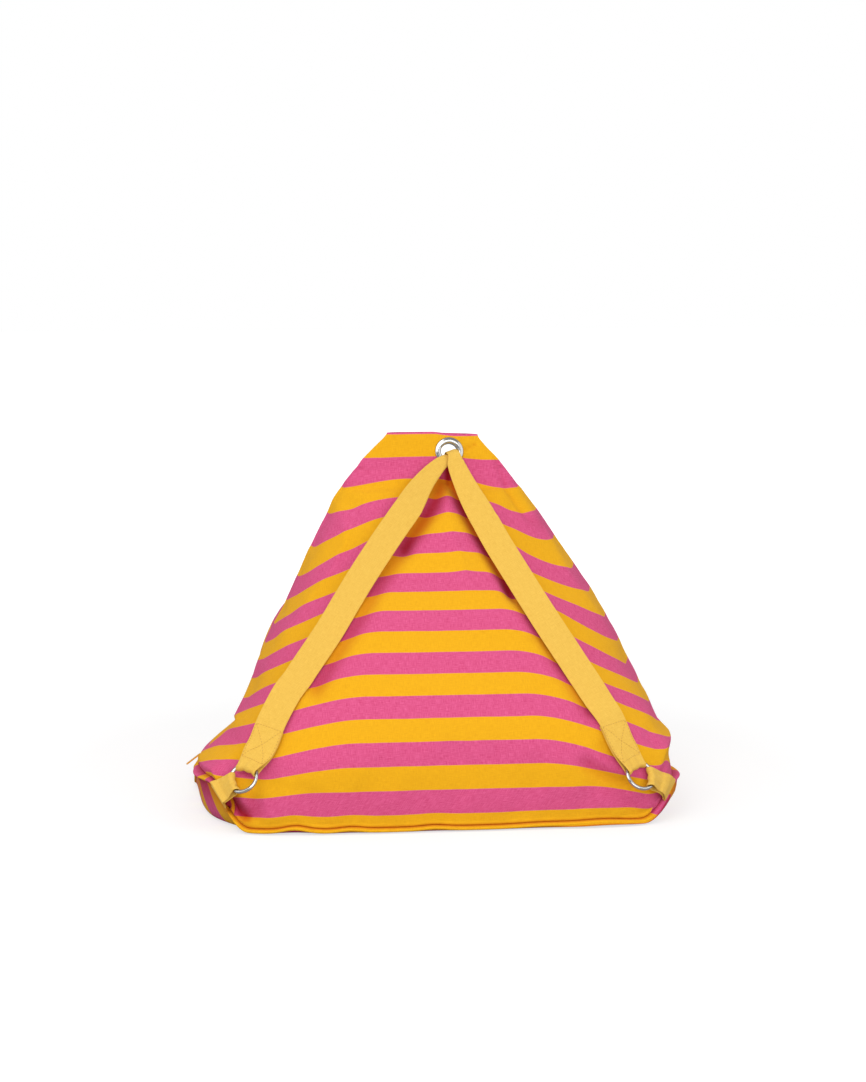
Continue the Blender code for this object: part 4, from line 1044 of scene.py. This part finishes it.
def strapRows(side):
    # all rows of one strap, from the loop behind the flap to the end sewn behind the ring
    centre, across, up, out = flapFrame()
    route, gathered = strapPath(side)
    turns = ringTurns(side, Vector(route[-1][:3]), Vector((1, 0, 0)), rings[side]["strapWidth"])
    end = middleOf(turns[0])
    facing = (end - middleOf(turns[-1])).normalized()
    lastRow = route[gathered - 1]
    route.append((*end, webbing["width"], webbing["thick"], 0.0))
    path = curveThrough(route, webbing["step"])
    freeFrom = path.index(min(path, key=lambda row: math.dist(row[:3], lastRow[:3])))
    places = [Vector(row[:3]) for row in path]
    stations = []
    for i, (row, point) in enumerate(zip(path, places)):
        run = (places[min(i + 1, len(places) - 1)] - places[max(i - 1, 0)]).normalized()
        if i < freeFrom:
            roll = math.radians(row[5])
            sideWay = across * math.cos(roll) + up * math.sin(roll)
        else:
            flatter = webbing["flatter"][side] * float(between((point - end).length, *webbing["flatFrom"]))
            facingOut = underCloth.find_nearest(point)[1] + Vector(webbing["flatTo"]) * flatter
            sideWay = facingOut.cross(run)
            if sideWay.x < 0:
                sideWay = -sideWay
        sideWay = (sideWay - run * sideWay.dot(run)).normalized()
        stations.append((point, sideWay, out, min(row[3], webbing["width"]), row[4]))
    stations = squaredUp(stations)
    kept = []
    for s in stations[:-1]:
        # it stands off by one more layer where its end is sewn under it
        sewn = 1 - float(between((s[0] - end).length, *webbing["sewnTo"]))
        clearance = webbing["clear"] + webbing["layers"] * sewn
        kept.append(keepOff(s, clearance) if s[0].z < webbing["freeBelow"] else s)
    for _ in range(3):
        middles = [a[0] * 0.25 + b[0] * 0.5 + c[0] * 0.25 for a, b, c in zip(kept, kept[1:], kept[2:])]
        kept[1:-1] = [(middle, *s[1:]) for middle, s in zip(middles, kept[1:-1])]
    stations = kept + stations[-1:]
    if stations[-1][2].dot(facing) < 0:
        stations = [(s[0], s[1], -s[2], s[3], s[4]) for s in stations]
    front, back = [], []
    roundWire = 2 * (rings["wire"] + rings["gap"] + webbing["half"])
    distance = 0.0
    for i in range(len(stations) - 1, -1, -1):
        s = stations[i]
        if i < len(stations) - 1:
            distance += (stations[i + 1][0] - s[0]).length
        nearRing = 1 - float(ease(distance / webbing["pucker"]))
        front.append(blendRow(flatRow(s), turns[0], nearRing, s[0]))
        if distance <= webbing["returned"]:
            inward = s[2].lerp(facing, nearRing).normalized()
            space = webbing["layers"] + (roundWire - webbing["layers"]) * nearRing
            peek = s[1] * (webbing["peek"] * (1 - nearRing) * (1 if side == "left" else -1))
            under = (s[0] - inward * space + peek, s[1], s[2], s[3], s[4])
            back.append(blendRow(flatRow(under), turns[-1], nearRing, under[0]))
    return list(reversed(front))[:-1] + turns + back[1:], front


def makeRibbon(name, rows):
    # a strip from a grid, its rows laid along the route, given its thickness and rounded
    count = webbing["points"] - 1
    bm, where = layRows(len(rows), count)
    middles = [middleOf(row) for row in rows]
    lengths = [0.0]
    for a, b in zip(middles, middles[1:]):
        lengths.append(lengths[-1] + (b - a).length)
    for vert in bm.verts:
        column, level = where[vert.index]
        vert.co = rows[level][column]
    uv = bm.loops.layers.uv.new("cloth")
    for face in bm.faces:
        for loop in face.loops:
            column, level = where[loop.vert.index]
            loop[uv].uv = (column / count * webbing["width"], lengths[level])
    bmesh.ops.recalc_face_normals(bm, faces=bm.faces)
    ribbon = addPiece(name, bm, tape)
    thicken = ribbon.modifiers.new("thickness", "SOLIDIFY")
    thicken.thickness = webbing["thick"]
    thicken.offset = 0.0
    return addFiner(ribbon), lengths[-1]


strapFronts = {}
for side in ("left", "right"):
    rows, front = strapRows(side)
    strapFronts[side] = front
    strap, length = makeRibbon("strap" + side.title() + "Webbing", rows)
    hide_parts("strap_" + side)
    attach(strap, "root")
    print(side, "strap made,", round(length, 3), "m of webbing")


def layOver(row, out, clearance):
    # lifts a tab's row until it clears the cloth
    lack = 0.0
    for a, b in zip(row, row[1:]):
        for share in (0.0, 0.5, 1.0):
            point = a.lerp(b, share)
            below = underCloth.ray_cast(point + out * webbing["lookBack"], -out, 1.5 * webbing["lookBack"])[0]
            if below is not None:
                lack = max(lack, clearance - (point - below).dot(out))
    return [point + out * lack for point in row]


def makeTab(side):
    root = webbing[side + "Root"]
    place = Vector(root["place"]) + stand
    normal = Vector(root["out"]).normalized()
    seam = Vector(root["seam"])
    seam = (seam - normal * seam.dot(normal)).normalized()
    turns = ringTurns(side, place, seam, rings[side]["tabWidth"])
    layers = []
    for turn in (turns[-1], turns[0]):
        above = len(layers) * webbing["layers"]
        rooted = place + normal * (webbing["tabGap"] + webbing["half"] + above)
        foot = (rooted, seam, normal, webbing["width"], webbing["thick"])
        start = middleOf(turn)
        found = []
        for i in range(1, webbing["tabSteps"] + 1):
            share = i / webbing["tabSteps"]
            row = blendRow(turn, flatRow(foot), share, start.lerp(foot[0], share))
            row = layOver(row, normal, webbing["tabGap"] + webbing["tabLay"] + above * share)
            if layers:
                space = (middleOf(row) - middleOf(layers[0][i - 1])).dot(normal)
                lack = max(webbing["layers"] - space, 0.0)
                row = [point + normal * lack for point in row]
            found.append(row)
        layers.append(found)
    # both ends go down into the base seam
    for layer, sunk in zip(layers, webbing["tabSunk"]):
        for i, row in enumerate(layer):
            down = sunk * float(between((i + 1) / webbing["tabSteps"], webbing["tabSinkFrom"], 1.0))
            layer[i] = [point - normal * down for point in row]
    under, over = layers
    tab, length = makeRibbon("tab" + side.title() + "Webbing", list(reversed(over)) + turns + under)
    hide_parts("tab_" + side)
    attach(tab, "root")
    print(side, "tab made,", round(length, 3), "m of webbing")


for side in ("left", "right"):
    makeTab(side)


# sewing thread

# a stitch's length, the gap after it and its thickness, and the sewn box with a cross in it
stitching = {"long": 0.0032, "gap": 0.0008, "thick": 0.00075, "proud": 0.00005, "near": 0.012, "far": 0.062,
             "edge": 0.90}


def sewLine(bm, start, end, normal):
    # a row of short stitches from start to end, each a small rounded length of thread
    run = end - start
    count = max(1, round(run.length / (stitching["long"] + stitching["gap"])))
    way = run.normalized()
    sideWay = normal.cross(way).normalized()
    sizes = (way * stitching["long"], sideWay * stitching["thick"], normal * stitching["thick"])
    for i in range(count):
        stitch = bmesh.ops.create_icosphere(bm, subdivisions=1, radius=0.5)["verts"]
        place = Matrix(sizes).transposed().to_4x4()
        place.translation = start + run * ((i + 0.5) / count)
        bmesh.ops.transform(bm, matrix=place, verts=stitch)


def onStrap(front, distance, share):
    # a place on the strap's outer face, by distance from the ring and share across
    middles = [middleOf(row) for row in front]
    gone = 0.0
    for k in range(len(front) - 1):
        step = (middles[k + 1] - middles[k]).length
        if gone + step >= distance:
            t = (distance - gone) / step
            at = (share + 1) / 2 * (webbing["points"] - 1)
            c = min(int(at), webbing["points"] - 2)
            a = front[k][c].lerp(front[k][c + 1], at - c)
            b = front[k + 1][c].lerp(front[k + 1][c + 1], at - c)
            normal = (front[k][c + 1] - front[k][c]).cross(front[k + 1][c] - front[k][c]).normalized()
            if normal.y > 0:
                normal = -normal
            return a.lerp(b, t) + normal * (webbing["thick"] / 2 + stitching["proud"]), normal
        gone += step
    return front[-1][0], Vector((0, -1, 0))


def sewOnStrap(bm, front, start, end):
    # start and end are distances from the ring and shares across
    pitch = stitching["long"] + stitching["gap"]
    run = (end[0] - start[0], end[1] - start[1])
    pieces = max(1, round(math.hypot(run[0], run[1] * webbing["width"] / 2) / pitch))
    spots = [onStrap(front, start[0] + run[0] * i / pieces, start[1] + run[1] * i / pieces)
             for i in range(pieces + 1)]
    for (a, normal), (b, _) in zip(spots, spots[1:]):
        sewLine(bm, a, b, normal)


for side in ("left", "right"):
    bm = bmesh.new()
    near, far, edge = stitching["near"], stitching["far"], stitching["edge"]
    corners = [(near, -edge), (near, edge), (far, edge), (far, -edge)]
    # round the box, and then the two lines of its cross
    for first, last in ((0, 1), (1, 2), (2, 3), (3, 0), (0, 2), (1, 3)):
        sewOnStrap(bm, strapFronts[side], corners[first], corners[last])
    sewing = addPiece("strap" + side.title() + "Stitches", bm, strapThread)
    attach(sewing, "root")
print("straps sewn")


# zip slider and pull

zipParts = {
    "slider": {"place": (-0.2988, 0.0, 0.0420), "size": (0.0026, 0.0070, 0.0100), "lean": 40.0,
               "bevel": 0.0009},
    "pull": {"place": (-0.3120, 0.0, 0.0303), "length": 0.0245, "width": 0.0050, "thick": 0.0016,
             "lean": -37.0, "hole": 0.0013, "holeIn": 0.0004, "bevel": 0.0004},
}


def leanAndPlace(bm, look):
    turn = Matrix.Rotation(math.radians(look["lean"]), 3, "Y")
    bmesh.ops.rotate(bm, verts=bm.verts, cent=(0, 0, 0), matrix=turn)
    bmesh.ops.translate(bm, verts=bm.verts, vec=Vector(look["place"]) + stand)


def makeSlider():
    look = zipParts["slider"]
    bm = bmesh.new()
    bmesh.ops.create_cube(bm, size=1.0)
    bmesh.ops.scale(bm, vec=look["size"], verts=bm.verts)
    bmesh.ops.bevel(bm, geom=bm.edges[:], offset=look["bevel"], segments=4, affect="EDGES", profile=0.5,
                    material=-1)
    leanAndPlace(bm, look)
    return addPiece("sliderSteel", bm, steel)


def makePull():
    # a plate between a long rounded outline and the hole near its end
    look = zipParts["pull"]
    bm = bmesh.new()
    outer = bmesh.ops.create_circle(bm, segments=32, radius=look["width"] / 2)["verts"]
    reach = look["length"] / 2 - look["width"] / 2
    for vert in outer:
        vert.co.x += reach if vert.co.x > 0.00001 else -reach
    hole = bmesh.ops.create_circle(bm, segments=32, radius=look["hole"])["verts"]
    bmesh.ops.translate(bm, verts=hole, vec=(look["holeIn"] - reach, 0, 0))
    bmesh.ops.bridge_loops(bm, edges=bm.edges[:])
    bmesh.ops.recalc_face_normals(bm, faces=bm.faces)
    bmesh.ops.solidify(bm, geom=bm.faces[:], thickness=look["thick"])
    bmesh.ops.translate(bm, verts=bm.verts, vec=(0, 0, look["thick"] / 2))
    leanAndPlace(bm, look)
    bmesh.ops.recalc_face_normals(bm, faces=bm.faces)
    pull = addPiece("pullEnamelled", bm, enamel, smooth=False)
    edges = pull.modifiers.new("softEdges", "BEVEL")
    edges.width = look["bevel"]
    edges.segments = 2
    return applied(pull)


slider = makeSlider()
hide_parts("zip_slider")
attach(slider, "root")
pull = makePull()
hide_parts("zip_pull")
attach(pull, "root")
print("zip made")


# floor and light

studio = {
    # the world's strength as it lights, as the camera sees it and as steel mirrors it
    "world": 0.62, "backdrop": 1.0, "mirrored": 0.32,
    # the floor: half width, drop below the pouf, greys, glow near and far, and how it spreads
    "floor": 12.0, "under": 0.0005, "grey": (0.36, 0.36, 0.36), "paleGrey": (0.38, 0.38, 0.38),
    "glowNear": 0.66, "glowFar": 0.98, "glowSpread": (0.7, -0.35),
    # place, aim, size across, watts
    "key": ((-1.2, -2.2, 2.6), (0.0, 0.0, 0.2), 2.2, 33.0),
    "front": ((0.5, -3.2, 0.7), (0.0, 0.0, 0.12), 2.4, 31.0),
    "fill": ((2.2, -1.6, 1.6), (0.0, 0.0, 0.2), 2.5, 15.0),
    "side": ((-2.7, -1.0, 1.3), (0.0, 0.0, 0.15), 2.4, 15.0),
}


def makeFloor():
    material, tree, shader = newMaterial("paleFloor", 0.85)
    place = objectPlace(tree)
    tone = noise(tree, place, 3.0)
    tree.links.new(mixColor(tree, tone, studio["grey"], studio["paleGrey"]), shader.inputs["Base Color"])
    shader.inputs["Emission Color"].default_value = (1, 1, 1, 1)
    # the floor is lit to white like a studio's sweep, less so close by, where the shadows lie
    seen = tree.nodes.new("ShaderNodeLightPath").outputs["Is Camera Ray"]
    away = tree.nodes.new("ShaderNodeVectorMath")
    away.operation = "LENGTH"
    tree.links.new(place, away.inputs[0])
    far = calc(tree, "MULTIPLY_ADD", away.outputs["Value"], *studio["glowSpread"], clamp=True)
    glow = calc(tree, "MULTIPLY_ADD", far, studio["glowFar"] - studio["glowNear"], studio["glowNear"])
    tree.links.new(calc(tree, "MULTIPLY", seen, glow), shader.inputs["Emission Strength"])
    bm = bmesh.new()
    bmesh.ops.create_grid(bm, x_segments=1, y_segments=1, size=studio["floor"])
    bmesh.ops.translate(bm, verts=bm.verts, vec=(0, 0, -studio["under"]))
    mesh = bpy.data.meshes.new("floor")
    bm.to_mesh(mesh)
    bm.free()
    mesh.materials.append(material)
    floor = bpy.data.objects.new("floor", mesh)
    bpy.context.scene.collection.objects.link(floor)


def addLight(name, place, target, size, power):
    data = bpy.data.lights.new(name, "AREA")
    data.shape = "DISK"
    data.size = size
    data.energy = power
    light = bpy.data.objects.new(name, data)
    light.location = place
    light.rotation_euler = (Vector(target) - Vector(place)).to_track_quat("-Z", "Y").to_euler()
    bpy.context.scene.collection.objects.link(light)


def makeWorld():
    world = bpy.data.worlds.new("studio")
    bpy.context.scene.world = world
    world.use_nodes = True
    tree = world.node_tree
    background = tree.nodes["Background"]
    background.inputs["Color"].default_value = (1, 1, 1, 1)
    # steel mirrors a darker room than the one that lights the cloth
    seen = tree.nodes.new("ShaderNodeLightPath").outputs
    strength = studio["world"]
    for ray, wanted in (("Is Camera Ray", "backdrop"), ("Is Glossy Ray", "mirrored")):
        strength = calc(tree, "MULTIPLY_ADD", seen[ray], studio[wanted] - studio["world"], strength)
    tree.links.new(strength, background.inputs["Strength"])


makeFloor()
makeWorld()
# Blender's default view transform would wash the photo's full colours out
bpy.context.scene.view_settings.view_transform = "Standard"
for name in ("key", "front", "fill", "side"):
    addLight(name + "Light", *studio[name])
print("stage set")
